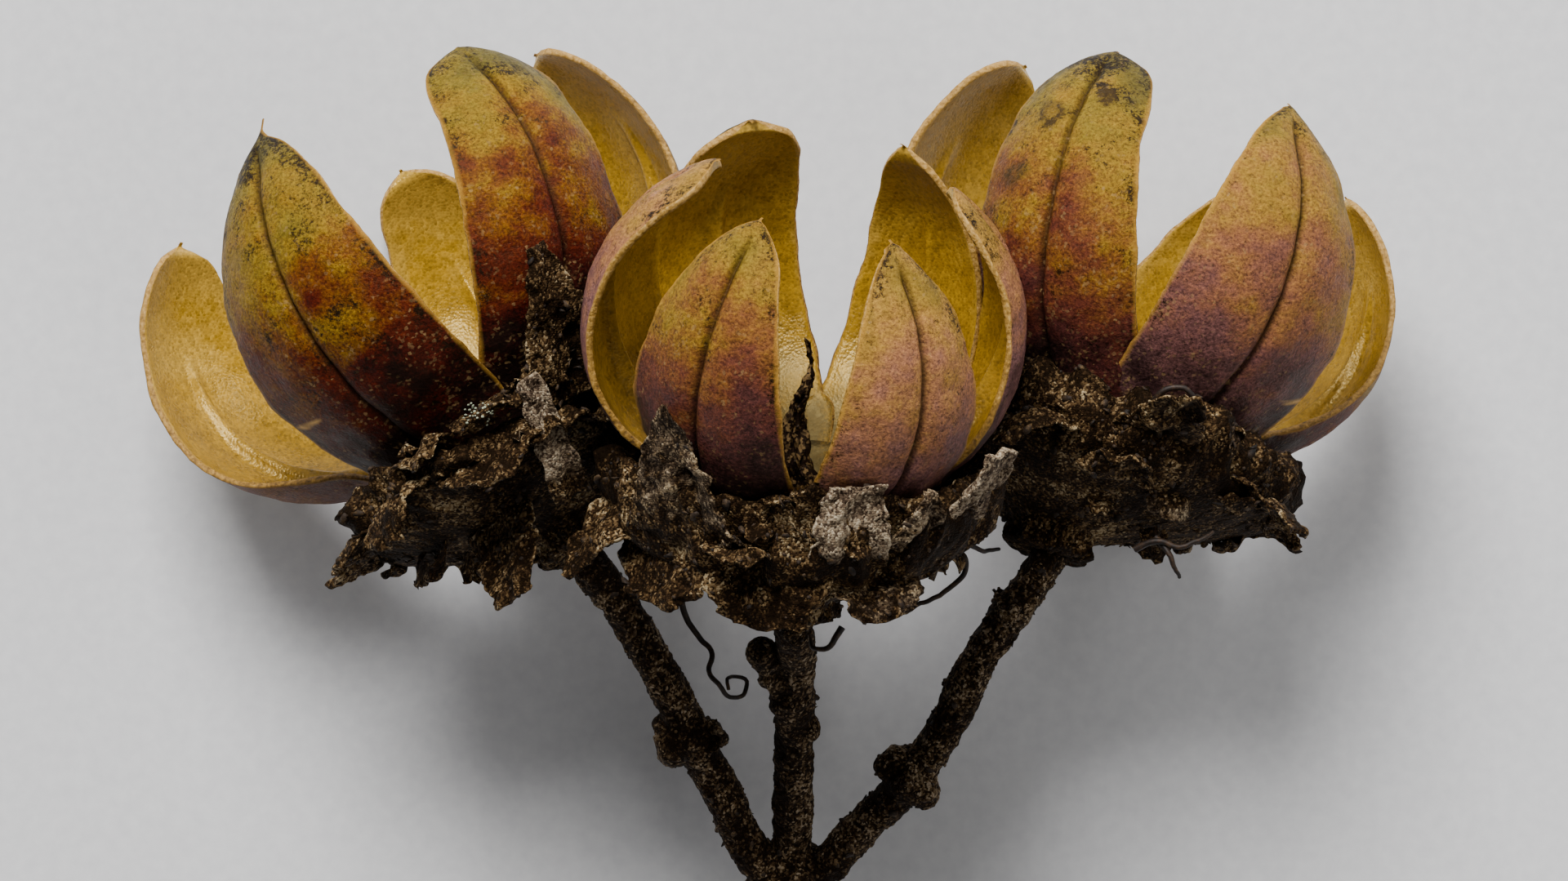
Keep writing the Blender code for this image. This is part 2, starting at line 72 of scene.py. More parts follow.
# Fine valve
ROWS = 96
BEAK_ROWS = 8
OUTSIDE_COLUMNS = 41
INSIDE_COLUMNS = 31
INSIDE_SPAN = 0.95
TIP_HALF_WIDTH = 0.30
WALL_MIDDLE = 0.38
WALL_EDGE = 0.20
CREASE_DEPTH = 0.22
CREASE_WIDTH = 0.13
SHOULDER_DEPTH = 0.10
SHOULDER_WIDTH = 0.60
SEPTUM_HEIGHT = 0.55
SEPTUM_WIDTH = 0.17
LIP = 0.05

# Calyx cup, as (radius, height) down the inside, over the rim and down the outside
CUP_LINE = (
    (0.0, -0.45), (1.6, -0.15), (2.75, 0.45), (3.75, 1.15), (4.6, 1.9), (5.25, 2.65),
    (5.75, 2.95), (6.05, 2.2), (5.6, 1.1), (4.4, 0.2), (2.7, -0.55), (1.35, -1.2),
    (1.30, -1.9), (0.0, -1.9),
)
CUP_WRINKLE = 0.34
CUP_DENT = 1.7
SEPAL_FOOT = (5.35, 1.75)
# Torn flaps may grow on the cup's outside, down to this point of its line
LAST_FLAP_ROW = 11
STEM_VOXEL = 0.10
# A calyx keeps CLEARANCE from the valves, and gives way from CROWDING on
CLEARANCE = 0.10
CROWDING = 0.55
# A valve that rests on the surface flattens within this height
REST_SOFTNESS = 0.45

# Node names that are used often, and a Mix node's sockets when it mixes colours
MATH = "ShaderNodeMath"
VECTOR = "ShaderNodeVectorMath"
NOISE = "ShaderNodeTexNoise"
RAMP = "ShaderNodeValToRGB"
RANGE = "ShaderNodeMapRange"
MIX = "ShaderNodeMix"
COLOURS = {"data_type": "RGBA"}
MIX_A, MIX_B, MIXED = 6, 7, 2

Number = Union[float, np.ndarray]


class Slot(Enum):
    """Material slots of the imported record."""

    CAPSULE = "capsule_wood"
    CALYX = "calyx_tissue"
    STEM = "stem_bark"


class Bit(Enum):
    """Kinds of loose bits."""

    CRUMB = "crumb"
    FLAKE = "flake"


class Face(Enum):
    """Which finish a face of a capsule takes."""

    OUTSIDE = 0
    LINING = 1
    SPLIT_EDGE = 2


def ease(value: Number) -> Number:
    """0 below 0, 1 above 1, and a smooth step between."""
    value = np.clip(value, 0.0, 1.0)
    return value * value * (3.0 - 2.0 * value)


def linear(code: str) -> tuple[float, float, float, float]:
    """Turns an sRGB hex colour to linear red, green, blue and alpha.

    Args:
        code: The colour, such as "#a0661e".

    Returns:
        Four linear numbers from 0 to 1.
    """
    channels = [int(code[at : at + 2], 16) / 255.0 for at in (1, 3, 5)]
    red, green, blue = [c / 12.92 if c <= 0.04045 else ((c + 0.055) / 1.055) ** 2.4 for c in channels]
    return red, green, blue, 1.0


def grain(points: np.ndarray, size: float, seed: float = 0.0) -> np.ndarray:
    """Smooth noise at each point.

    Args:
        points: Rows of three coordinates, in any number of dimensions.
        size: Size of a lump.
        seed: Moves the pattern.

    Returns:
        A number from about -1 to 1 for each point.
    """
    flat = (points.reshape(-1, 3) / size + seed * 17.3).tolist()
    return np.array([noise.noise(point) for point in flat]).reshape(points.shape[:-1])


def ridged(points: np.ndarray, size: float, seed: float = 0.0) -> np.ndarray:
    """Noise with sharp crests: 1 on a crest, down to about -1 between."""
    return 1.0 - 3.0 * np.abs(grain(points, size, seed))


def smooth_line(points: Sequence[Sequence[float]], steps: int) -> np.ndarray:
    """Draws a smooth line through given points.

    Args:
        points: The points, with any number of coordinates.
        steps: How many steps lie between each two.

    Returns:
        One row a point of the line.
    """
    known = np.array(points, float)
    known = np.vstack([2 * known[0] - known[1], known, 2 * known[-1] - known[-2]])
    t = (np.arange(steps) / steps)[:, None]
    runs = []
    for a, b, c, d in zip(known, known[1:], known[2:], known[3:]):
        square = (2 * a - 5 * b + 4 * c - d) * t * t
        cube = (3 * b - a - 3 * c + d) * t * t * t
        runs.append((2 * b + (c - a) * t + square + cube) / 2)
    return np.vstack(runs + [known[-2:-1]])


def add(
    tree: bpy.types.NodeTree,
    kind: str,
    settings: Union[dict[str, Any], None] = None,
    inputs: Union[dict[Union[str, int], Any], None] = None,
    out: Union[str, int] = 0,
) -> Any:
    """Adds a node with its settings and links.

    Args:
        tree: The node tree of a material or of a geometry modifier.
        kind: The node's type name.
        settings: Values by property name. "stops" holds a ramp's places and hex colours.
        inputs: Values, or sockets to link, by the input's name or number.
        out: Name or number of the output that is wanted.

    Returns:
        That output, or None from a node that has none.
    """
    node = tree.nodes.new(kind)
    for name, value in (settings or {}).items():
        if name != "stops":
            setattr(node, name, value)
            continue
        band = node.color_ramp.elements
        for number, (place, code) in enumerate(value):
            stop = band[number] if number < 2 else band.new(place)
            stop.position = place
            stop.color = linear(code)
    for name, value in (inputs or {}).items():
        if isinstance(value, bpy.types.NodeSocket):
            tree.links.new(value, node.inputs[name])
        else:
            node.inputs[name].default_value = value
    return node.outputs[out] if len(node.outputs) else None


@dataclass
class Shell:
    """A mesh in the making."""

    points: np.ndarray
    faces: list[tuple[int, ...]]
    slots: list[int]
    values: dict[str, np.ndarray] = field(default_factory=dict)

    def mesh(self, name: str) -> bpy.types.Mesh:
        """Makes the mesh, welded and with its faces pointing out.

        Args:
            name: The mesh's name.

        Returns:
            The mesh, with the shell's values as attributes of its points.
        """
        made = bpy.data.meshes.new(name)
        made.from_pydata(self.points.tolist(), [], self.faces)
        made.polygons.foreach_set("material_index", self.slots)
        for title, numbers in self.values.items():
            layer = made.attributes.new(title, "FLOAT", "POINT")
            layer.data.foreach_set("value", np.asarray(numbers, np.float32))
        shape = bmesh.new()
        shape.from_mesh(made)
        bmesh.ops.remove_doubles(shape, verts=shape.verts[:], dist=0.0005)
        bmesh.ops.dissolve_degenerate(shape, edges=shape.edges[:], dist=0.0001)
        bmesh.ops.recalc_face_normals(shape, faces=shape.faces[:])
        shape.to_mesh(made)
        shape.free()
        return made


def joined(shells: Iterable[Shell]) -> Shell:
    """Puts several shells in one.

    Args:
        shells: The shells, which may have different values.

    Returns:
        One shell, with 0 for the values that a part lacks.
    """
    shells = list(shells)
    titles = sorted({title for shell in shells for title in shell.values})
    faces: list[tuple[int, ...]] = []
    slots: list[int] = []
    start = 0
    for shell in shells:
        faces += [tuple(start + corner for corner in face) for face in shell.faces]
        slots += shell.slots
        start += len(shell.points)
    values = {}
    for title in titles:
        parts = [shell.values.get(title, np.zeros(len(shell.points))) for shell in shells]
        values[title] = np.concatenate(parts)
    return Shell(np.vstack([shell.points for shell in shells]), faces, slots, values)


def ring_faces(rows: int, columns: int) -> list[tuple[int, ...]]:
    """Quads between closed rings of equally many points.

    Args:
        rows: How many rings there are.
        columns: How many points a ring has.

    Returns:
        The corners of each quad.
    """
    faces = []
    for row in range(rows - 1):
        low, high = row * columns, (row + 1) * columns
        for column in range(columns):
            after = (column + 1) % columns
            faces.append((low + column, low + after, high + after, high + column))
    return faces


def read_points(mesh: bpy.types.Mesh) -> np.ndarray:
    """Reads the points of a mesh.

    Args:
        mesh: The mesh.

    Returns:
        One row a point.
    """
    numbers = np.empty(len(mesh.vertices) * 3, np.float32)
    mesh.vertices.foreach_get("co", numbers)
    return numbers.reshape(-1, 3).astype(float)


def read_quads(mesh: bpy.types.Mesh) -> np.ndarray:
    """Reads the corners of a mesh of quads.

    Args:
        mesh: The mesh.

    Returns:
        One row a face.
    """
    numbers = np.empty(len(mesh.loops), np.int32)
    mesh.loops.foreach_get("vertex_index", numbers)
    return numbers.reshape(-1, 4)


def point_normals(points: np.ndarray, quads: np.ndarray) -> np.ndarray:
    """Unit normals of a closed skin.

    Args:
        points: The skin's points.
        quads: The corners of its quads.

    Returns:
        One row a point.
    """
    across = points[quads[:, 2]] - points[quads[:, 0]]
    along = points[quads[:, 3]] - points[quads[:, 1]]
    normal = np.cross(across, along)
    total = np.zeros_like(points)
    for corner in range(4):
        for axis in range(3):
            total[:, axis] += np.bincount(quads[:, corner], normal[:, axis], len(points))
    return total / np.maximum(np.linalg.norm(total, axis=1, keepdims=True), 1e-12)


def smoothed(numbers: np.ndarray, quads: np.ndarray, rounds: int) -> np.ndarray:
    """Averages each point's numbers with its neighbours'.

    Args:
        numbers: Three numbers for each point.
        quads: The corners of the skin's quads.
        rounds: How many times over.

    Returns:
        The averages, one row a point.
    """
    ends = np.vstack([quads[:, [0, 1]], quads[:, [1, 2]], quads[:, [2, 3]], quads[:, [3, 0]]])
    count = np.maximum(np.bincount(ends[:, 0], minlength=len(numbers)), 1)
    for _ in range(rounds):
        total = np.stack(
            [np.bincount(ends[:, 0], numbers[ends[:, 1], axis], len(numbers)) for axis in range(3)],
            axis=1,
        )
        numbers = total / count[:, None]
    return numbers


def proud(points: np.ndarray, quads: np.ndarray, rounds: int) -> np.ndarray:
    """How far each point stands out of its surroundings, from about -1 in a fold to 1 on a crest."""
    lifted = np.sum((points - smoothed(points, quads, rounds)) * point_normals(points, quads), axis=1)
    return np.clip(lifted / (2.0 * np.std(lifted)), -1.0, 1.0)


def relief(points: np.ndarray, quads: np.ndarray, broad: int) -> np.ndarray:
    """Fine relief and broad relief together. The broad one reaches over more rounds."""
    return 0.5 * proud(points, quads, 3) + 0.5 * proud(points, quads, broad)


def evaluated(obj: bpy.types.Object) -> bpy.types.Mesh:
    """Applies an object's modifiers and removes the object.

    Args:
        obj: A passing object.

    Returns:
        The plain mesh that its modifiers make.
    """
    bpy.context.view_layer.update()
    graph = bpy.context.evaluated_depsgraph_get()
    mesh = bpy.data.meshes.new_from_object(obj.evaluated_get(graph))
    bpy.data.objects.remove(obj, do_unlink=True)
    return mesh


def helper(name: str, mesh: bpy.types.Mesh) -> bpy.types.Object:
    """Puts a passing object in the scene.

    Args:
        name: Its name.
        mesh: Its mesh.

    Returns:
        The object.
    """
    obj = bpy.data.objects.new(name, mesh)
    bpy.context.scene.collection.objects.link(obj)
    return obj


def melted(shell: Shell, voxel: float) -> tuple[np.ndarray, np.ndarray]:
    """Melts shells into one skin of even quads.

    Args:
        shell: Closed bodies that may cross each other.
        voxel: Width of a quad.

    Returns:
        The skin's points and its quads.
    """
    obj = helper("melt", shell.mesh("melt"))
    melt = obj.modifiers.new("melt", "REMESH")
    melt.mode = "VOXEL"
    melt.voxel_size = voxel
    mesh = evaluated(obj)
    return largest_body(read_points(mesh), read_quads(mesh))


def largest_body(points: np.ndarray, quads: np.ndarray) -> tuple[np.ndarray, np.ndarray]:
    """Drops the loose scraps of a skin.

    Args:
        points: The skin's points.
        quads: The corners of its quads.

    Returns:
        The points and quads of its largest body.
    """
    label = np.arange(len(points))
    while True:
        lowest = label[quads].min(axis=1)
        new = label.copy()
        for corner in range(4):
            np.minimum.at(new, quads[:, corner], lowest)
        new = new[new]
        if np.array_equal(new, label):
            break
        label = new
    kept = label == np.bincount(label).argmax()
    place = np.cumsum(kept) - 1
    return points[kept], place[quads[kept[quads[:, 0]]]]


def opened(name: str, sockets: dict[str, str]) -> tuple[bpy.types.NodeTree, Any]:
    """Opens a geometry node group that takes one mesh and gives another.

    Args:
        name: The group's name.
        sockets: The kind of each further input, by its name.

    Returns:
        The group, and the sockets of its inputs by their names.
    """
    tree = bpy.data.node_groups.new(name, "GeometryNodeTree")
    tree.interface.new_socket("Geometry", in_out="OUTPUT", socket_type="NodeSocketGeometry")
    for title, kind in {"Geometry": "Geometry", **sockets}.items():
        tree.interface.new_socket(title, in_out="INPUT", socket_type="NodeSocket" + kind)
    return tree, tree.nodes.new("NodeGroupInput").outputs


@dataclass(frozen=True)
class TubeTree:
    """Geometry nodes that turn lines into crinkled tapering tubes."""

    name: str = "tubes_along_lines"

    def group(self) -> bpy.types.NodeTree:
        """Builds the tree.

        Returns:
            A group with inputs for the radii, the sides, the step, the crinkle, the seed and the
            finish.
        """
        sockets = dict.fromkeys(("Root Radius", "Tip Radius", "Step", "Crinkle", "Crinkle Size"), "Float")
        sockets.update({"Sides": "Int", "Seed": "Int", "Finish": "Material"})
        tree, given = opened(self.name, sockets)
        line = add(tree, "GeometryNodeMeshToCurve", {}, {"Mesh": given["Geometry"]})
        even = {"Curve": line, "Length": given["Step"]}
        line = add(tree, "GeometryNodeResampleCurve", {"mode": "LENGTH"}, even)
        share = add(tree, "GeometryNodeSplineParameter", out="Factor")
        fine = add(tree, MATH, {"operation": "DIVIDE"}, {0: 1.0, 1: given["Crinkle Size"]})
        rough = {"W": given["Seed"], "Scale": fine, "Detail": 1.0}
        pattern = add(tree, NOISE, {"noise_dimensions": "4D"}, rough, "Color")
        centred = add(tree, VECTOR, {"operation": "SUBTRACT"}, {0: pattern, 1: (0.5, 0.5, 0.5)})
        reach = add(tree, MATH, {"operation": "MULTIPLY"}, {0: given["Crinkle"], 1: share})
        shift = add(tree, VECTOR, {"operation": "SCALE"}, {"Vector": centred, "Scale": reach})
        line = add(tree, "GeometryNodeSetPosition", {}, {"Geometry": line, "Offset": shift})
        ends = {0: share, 2: given["Root Radius"], 3: given["Tip Radius"]}
        radius = add(tree, MIX, {"data_type": "FLOAT"}, ends)
        circle = {"Resolution": given["Sides"], "Radius": 1.0}
        ring = add(tree, "GeometryNodeCurvePrimitiveCircle", {}, circle)
        sweep = {"Curve": line, "Profile Curve": ring, "Scale": radius, "Fill Caps": True}
        tube = add(tree, "GeometryNodeCurveToMesh", {}, sweep)
        tube = add(tree, "GeometryNodeRealizeInstances", {}, {"Geometry": tube})
        skin = {"Geometry": tube, "Material": given["Finish"]}
        tube = add(tree, "GeometryNodeSetMaterial", {}, skin)
        add(tree, "NodeGroupOutput", {}, {"Geometry": tube})
        return tree


@dataclass(frozen=True)
class ScatterTree:
    """Geometry nodes that strew small bits over a skin, thicker where it crumbles."""

    name: str = "bits_on_a_skin"

    def group(self) -> bpy.types.NodeTree:
        """Builds the tree.

        Returns:
            A group with inputs for the bit, how many there are to a square millimetre, their sizes,
            their tilt, the seed and the finish.
        """
        sockets = {"Bit": "Object", "Seed": "Int", "Finish": "Material"}
        sockets.update(dict.fromkeys(("Density", "Smallest", "Largest", "Tilt"), "Float"))
        tree, given = opened(self.name, sockets)
        skin, tilt, seed = given["Geometry"], given["Tilt"], given["Seed"]
        crumbly = add(tree, "GeometryNodeInputNamedAttribute", {}, {"Name": "crumbly"})
        density = add(tree, MATH, {"operation": "MULTIPLY"}, {0: given["Density"], 1: crumbly})
        where = {"Mesh": skin, "Density": density, "Seed": seed}
        places = add(tree, "GeometryNodeDistributePointsOnFaces", {}, where)
        back = add(tree, MATH, {"operation": "MULTIPLY"}, {0: tilt, 1: -1.0})
        least = add(tree, "ShaderNodeCombineXYZ", {}, {0: back, 1: back, 2: -math.pi})
        most = add(tree, "ShaderNodeCombineXYZ", {}, {0: tilt, 1: tilt, 2: math.pi})
        drawn = {"Min": least, "Max": most, "Seed": seed}
        spin = add(tree, "FunctionNodeRandomValue", {"data_type": "FLOAT_VECTOR"}, drawn)
        spin = add(tree, "FunctionNodeEulerToRotation", {}, {"Euler": spin})
        upright = {"Rotation": places.node.outputs["Rotation"], "Rotate By": spin}
        turn = add(tree, "FunctionNodeRotateRotation", {"rotation_space": "LOCAL"}, upright)
        drawn = {2: given["Smallest"], 3: given["Largest"], "Seed": seed}
        size = add(tree, "FunctionNodeRandomValue", {"data_type": "FLOAT"}, drawn, 1)
        bit = add(tree, "GeometryNodeObjectInfo", {}, {"Object": given["Bit"]}, "Geometry")
        copies = {"Points": places, "Instance": bit, "Rotation": turn, "Scale": size}
        bits = add(tree, "GeometryNodeInstanceOnPoints", {}, copies)
        kind = {"domain": "INSTANCE", "data_type": "FLOAT"}
        marked = {"Geometry": bits, "Name": "loose", "Value": 1.0}
        bits = add(tree, "GeometryNodeStoreNamedAttribute", kind, marked)
        both = add(tree, "GeometryNodeJoinGeometry")
        tree.links.new(bits, both.node.inputs[0])
        tree.links.new(skin, both.node.inputs[0])
        plain = add(tree, "GeometryNodeRealizeInstances", {}, {"Geometry": both})
        loose = add(tree, "GeometryNodeInputNamedAttribute", {}, {"Name": "loose"})
        chosen = add(tree, MATH, {"operation": "GREATER_THAN"}, {0: loose, 1: 0.5})
        finish = {"Geometry": plain, "Selection": chosen, "Material": given["Finish"]}
        plain = add(tree, "GeometryNodeSetMaterial", {}, finish)
        add(tree, "NodeGroupOutput", {}, {"Geometry": plain})
        return tree


def grown(mesh: bpy.types.Mesh, group: bpy.types.NodeTree, settings: dict[str, Any]) -> bpy.types.Mesh:
    """Runs a geometry node tree on a mesh.

    Args:
        mesh: What the tree starts from.
        group: The tree.
        settings: The tree's inputs by their names.

    Returns:
        The plain mesh that it makes.
    """
    host = helper("host", mesh)
    modifier = host.modifiers.new("grow", "NODES")
    modifier.node_group = group
    keys = {
        item.name: item.identifier
        for item in group.interface.items_tree
        if item.item_type == "SOCKET" and item.in_out == "INPUT"
    }
    for title, value in settings.items():
        modifier[keys[title]] = value
    return evaluated(host)


def lines_mesh(lines: Iterable[np.ndarray]) -> bpy.types.Mesh:
    """Makes lines that a tree can sweep.

    Args:
        lines: The points of each line.

    Returns:
        A mesh of bare edges, one chain a line.
    """
    points: list[list[float]] = []
    edges: list[tuple[int, int]] = []
    for line in lines:
        start = len(points)
        points += line.tolist()
        edges += [(start + step, start + step + 1) for step in range(len(line) - 1)]
    mesh = bpy.data.meshes.new("lines")
    mesh.from_pydata(points, edges, [])
    return mesh


def bit_mesh(stretch: tuple[float, float, float], bend: float, jitter: float) -> bpy.types.Mesh:
    """A small closed lump, about 1 across before it is scattered.

    Args:
        stretch: Its half sizes.
        bend: How far its ends curl up.
        jitter: How uneven it is.

    Returns:
        The mesh, of 20 faces.
    """
    shape = bmesh.new()
    bmesh.ops.create_icosphere(shape, subdivisions=1, radius=1.0)
    for vert in shape.verts:
        vert.co *= 1.0 + jitter * noise.noise(vert.co * 2.7)
        x, y, z = (size * part for size, part in zip(stretch, vert.co))
        vert.co = Vector((x, y, z + bend * x * x))
    mesh = bpy.data.meshes.new("bit")
    shape.to_mesh(mesh)
    shape.free()
    return mesh


def place_piece(
    mesh: bpy.types.Mesh, name: str, nodes: Sequence[str] = ()
) -> bpy.types.Object:
    """Turns a mesh in millimetres into a piece of the object.

    Args:
        mesh: The mesh, in the row's frame and with its materials.
        name: The piece's name.
        nodes: The solids that it stands for.

    Returns:
        The piece, riding on the one body.
    """
    mesh.transform(Matrix.Scale(MM, 4))
    mesh.name = name
    mesh.shade_smooth()
    piece = bpy.data.objects.new(name, mesh)
    bpy.context.scene.collection.objects.link(piece)
    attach(piece, BODY)
    if nodes:
        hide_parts(*nodes)
    LOG.info("%s: %d faces", name, len(mesh.polygons))
    return piece


@dataclass(frozen=True)
class Coat:
    """What every finish starts from: a matt dielectric read in millimetres."""

    name: str
    roughness: float = 0.6
    specular: float = 0.3
    sheen_colour: str = "#ffffff"

    def start(self) -> tuple[bpy.types.Material, bpy.types.NodeTree, bpy.types.Node, Any]:
        """Makes the material.

        Returns:
            The material, its tree, its shader and a place in millimetres.
        """
        material = bpy.data.materials.new(self.name)
        material.use_nodes = True
        tree = material.node_tree
        shader = tree.nodes["Principled BSDF"]
        shader.inputs["Roughness"].default_value = self.roughness
        shader.inputs["Specular IOR Level"].default_value = self.specular
        shader.inputs["Specular Tint"].default_value = linear(self.sheen_colour)
        spot = add(tree, "ShaderNodeTexCoord", out="Object")
        place = add(tree, "ShaderNodeMapping", {}, {"Vector": spot, "Scale": (1 / MM, 1 / MM, 1 / MM)})
        return material, tree, shader, place


def read(tree: bpy.types.NodeTree, *titles: str) -> list[Any]:
    """Sockets that read the mesh's own values by their titles."""
    return [add(tree, "ShaderNodeAttribute", {"attribute_name": title}, out="Fac") for title in titles]


def summed(tree: bpy.types.NodeTree, start: float, *parts: tuple[Any, float]) -> Any:
    """Adds sockets to a number.

    Args:
        tree: The material's tree.
        start: The number.
        parts: Each socket with its weight.

    Returns:
        The sum's socket.
    """
    total: Any = start
    for socket, weight in parts:
        total = add(tree, MATH, {"operation": "MULTIPLY_ADD"}, {0: socket, 1: weight, 2: total})
    return total


def embossed(tree: bpy.types.NodeTree, *reliefs: tuple[Any, float]) -> Any:
    """Raises a surface's fine relief.

    Args:
        tree: The material's tree.
        reliefs: Each a height socket and its depth in millimetres.

    Returns:
        The normal's socket.
    """
    normal: Any = None
    for height, depth in reliefs:
        inputs = {"Strength": 1.0, "Distance": depth * MM, "Height": height}
        if normal is not None:
            inputs["Normal"] = normal
        normal = add(tree, "ShaderNodeBump", {}, inputs)
    return normal


@dataclass(frozen=True)
class CapsuleWall(Coat):
    """Weathered outside of a dry capsule wall: thin wood, bleached ochre at its tip, stained dark
    at its foot, speckled with mould."""

    name: str = "weathered_capsule_wall"
    roughness: float = 0.55
    sheen_colour: str = "#d9a878"
    patch: float = 2.6
    blotch: float = 0.75
    streak: float = 0.30
    # The wall's own grain is about 0.05 mm, and is drawn twice as coarse so that it shows
    grit: float = 0.10
    mould_speck: float = 0.16
    mould_patch: float = 1.6
    rust: tuple[tuple[float, str], ...] = (
        (0.0, "#080506"),
        (0.22, "#150808"),
        (0.35, "#360b07"),
        (0.46, "#461508"),
        (0.58, "#5f380b"),
        (0.71, "#72570f"),
        (0.86, "#6b5916"),
        (1.0, "#51481a"),
    )
    mauve: tuple[tuple[float, str], ...] = (
        (0.0, "#170d0e"),
        (0.16, "#422b2b"),
        (0.34, "#704c49"),
        (0.52, "#895b3e"),
        (0.68, "#8a652b"),
        (0.86, "#765d1e"),
        (1.0, "#43351c"),
    )

    def material(self) -> bpy.types.Material:
        """Bands of stain along the valve, broken up by patches, with mould, dust and painted shade in the
        crease.

        Returns:
            The material.
        """
        material, tree, shader, place = self.start()
        along, edge, crease, mauve = read(tree, "along", "edge", "crease", "mauve")
        stain, mouldy, mark = read(tree, "stain", "mouldy", "mark")
        patch = add(tree, NOISE, {}, {"Vector": place, "Scale": 1 / self.patch, "Detail": 3.0})
        rough = {"Vector": place, "Scale": 1 / self.blotch, "Detail": 5.0, "Roughness": 0.62}
        blotch = add(tree, NOISE, {}, rough)
        rough = {"Vector": place, "Scale": 1 / self.grit, "Detail": 3.0, "Roughness": 0.7}
        grit = add(tree, NOISE, {}, rough)
        rough = {"Vector": place, "Scale": 1 / self.streak, "Detail": 4.0, "Distortion": 0.8}
        streak = add(tree, NOISE, {}, rough)
        parts = ((along, 0.97), (stain, -1.0), (patch, 0.82), (blotch, 0.42), (grit, 0.23))
        level = summed(tree, -0.73, *parts)
        warm = add(tree, RAMP, {"stops": self.rust}, {"Fac": level})
        cool = add(tree, RAMP, {"stops": self.mauve}, {"Fac": level})
        colour = add(tree, MIX, COLOURS, {0: mauve, MIX_A: warm, MIX_B: cool}, MIXED)
        tone = summed(tree, -0.88, (grit, 2.9), (streak, 0.9))
        colour = add(tree, VECTOR, {"operation": "SCALE"}, {"Vector": colour, "Scale": tone})
        # The groove down a valve's back is painted as a near-black line: painted shade in the crease
        painted_crease_shade = add(tree, RANGE, {}, {0: crease, 1: 0.12, 2: 1.0, 3: 0.0, 4: 0.9})
        colour = add(tree, MIX, COLOURS, {0: painted_crease_shade, MIX_A: colour, MIX_B: linear("#0d0604")}, MIXED)
        # Black mould sits in clusters near the tip and the margins
        rough = {"Vector": place, "Scale": 1 / self.mould_speck, "Detail": 6.0, "Roughness": 0.85}
        specks = add(tree, NOISE, {}, rough)
        rough = {"Vector": place, "Scale": 1 / self.mould_patch, "Detail": 2.0, "Distortion": 0.8}
        cluster = add(tree, NOISE, {}, rough)
        reach = summed(tree, 0.0, (edge, 0.35), (mouldy, 0.9), (cluster, 1.8), (mark, 0.5))
        reach = add(tree, RANGE, {}, {0: reach, 1: 0.85, 2: 2.1, 3: 0.0, 4: 0.34})
        specks = add(tree, MATH, {"operation": "ADD"}, {0: specks, 1: reach})
        mould = add(tree, RANGE, {}, {0: specks, 1: 0.64, 2: 0.73})
        colour = add(tree, MIX, COLOURS, {0: mould, MIX_A: colour, MIX_B: linear("#080604")}, MIXED)
        # A bruise is darker, and a scratch lays the pale wood bare
        bruise = add(tree, RANGE, {}, {0: mark, 1: 0.15, 2: 1.0, 3: 0.0, 4: 0.62})
        colour = add(tree, MIX, COLOURS, {0: bruise, MIX_A: colour, MIX_B: linear("#3a2c12")}, MIXED)
        scratch = add(tree, RANGE, {}, {0: mark, 1: -0.2, 2: -0.9, 3: 0.0, 4: 0.9})
        colour = add(tree, MIX, COLOURS, {0: scratch, MIX_A: colour, MIX_B: linear("#cda052")}, MIXED)
        # Fine pale dust lies in drifts, more of it towards the foot
        grain_at = {"Vector": place, "Scale": 1 / self.grit}
        grains = add(tree, "ShaderNodeTexVoronoi", {}, grain_at, "Color")
        drift = summed(tree, 0.0, (grains, 1.0), (blotch, 0.8), (along, -0.22))
        drift = add(tree, RANGE, {}, {0: drift, 1: 1.08, 2: 1.32, 3: 0.0, 4: 0.6})
        colour = add(tree, MIX, COLOURS, {0: drift, MIX_A: colour, MIX_B: linear("#8c7048")}, MIXED)
        # The worn margin is pale
        worn = add(tree, RANGE, {}, {0: edge, 1: 0.78, 2: 1.0, 3: 0.0, 4: 1.3})
        worn = add(tree, MATH, {"operation": "MULTIPLY"}, {0: worn, 1: blotch})
        colour = add(tree, MIX, COLOURS, {0: worn, MIX_A: colour, MIX_B: linear("#a87c2e")}, MIXED)
        tree.links.new(colour, shader.inputs["Base Color"])
        gloss = add(tree, RANGE, {}, {0: blotch, 1: 0.3, 2: 0.7, 3: 0.42, 4: 0.66})
        tree.links.new(gloss, shader.inputs["Roughness"])
        normal = embossed(tree, (blotch, 0.06), (streak, 0.03), (grit, 0.03))
        tree.links.new(normal, shader.inputs["Normal"])
        return material


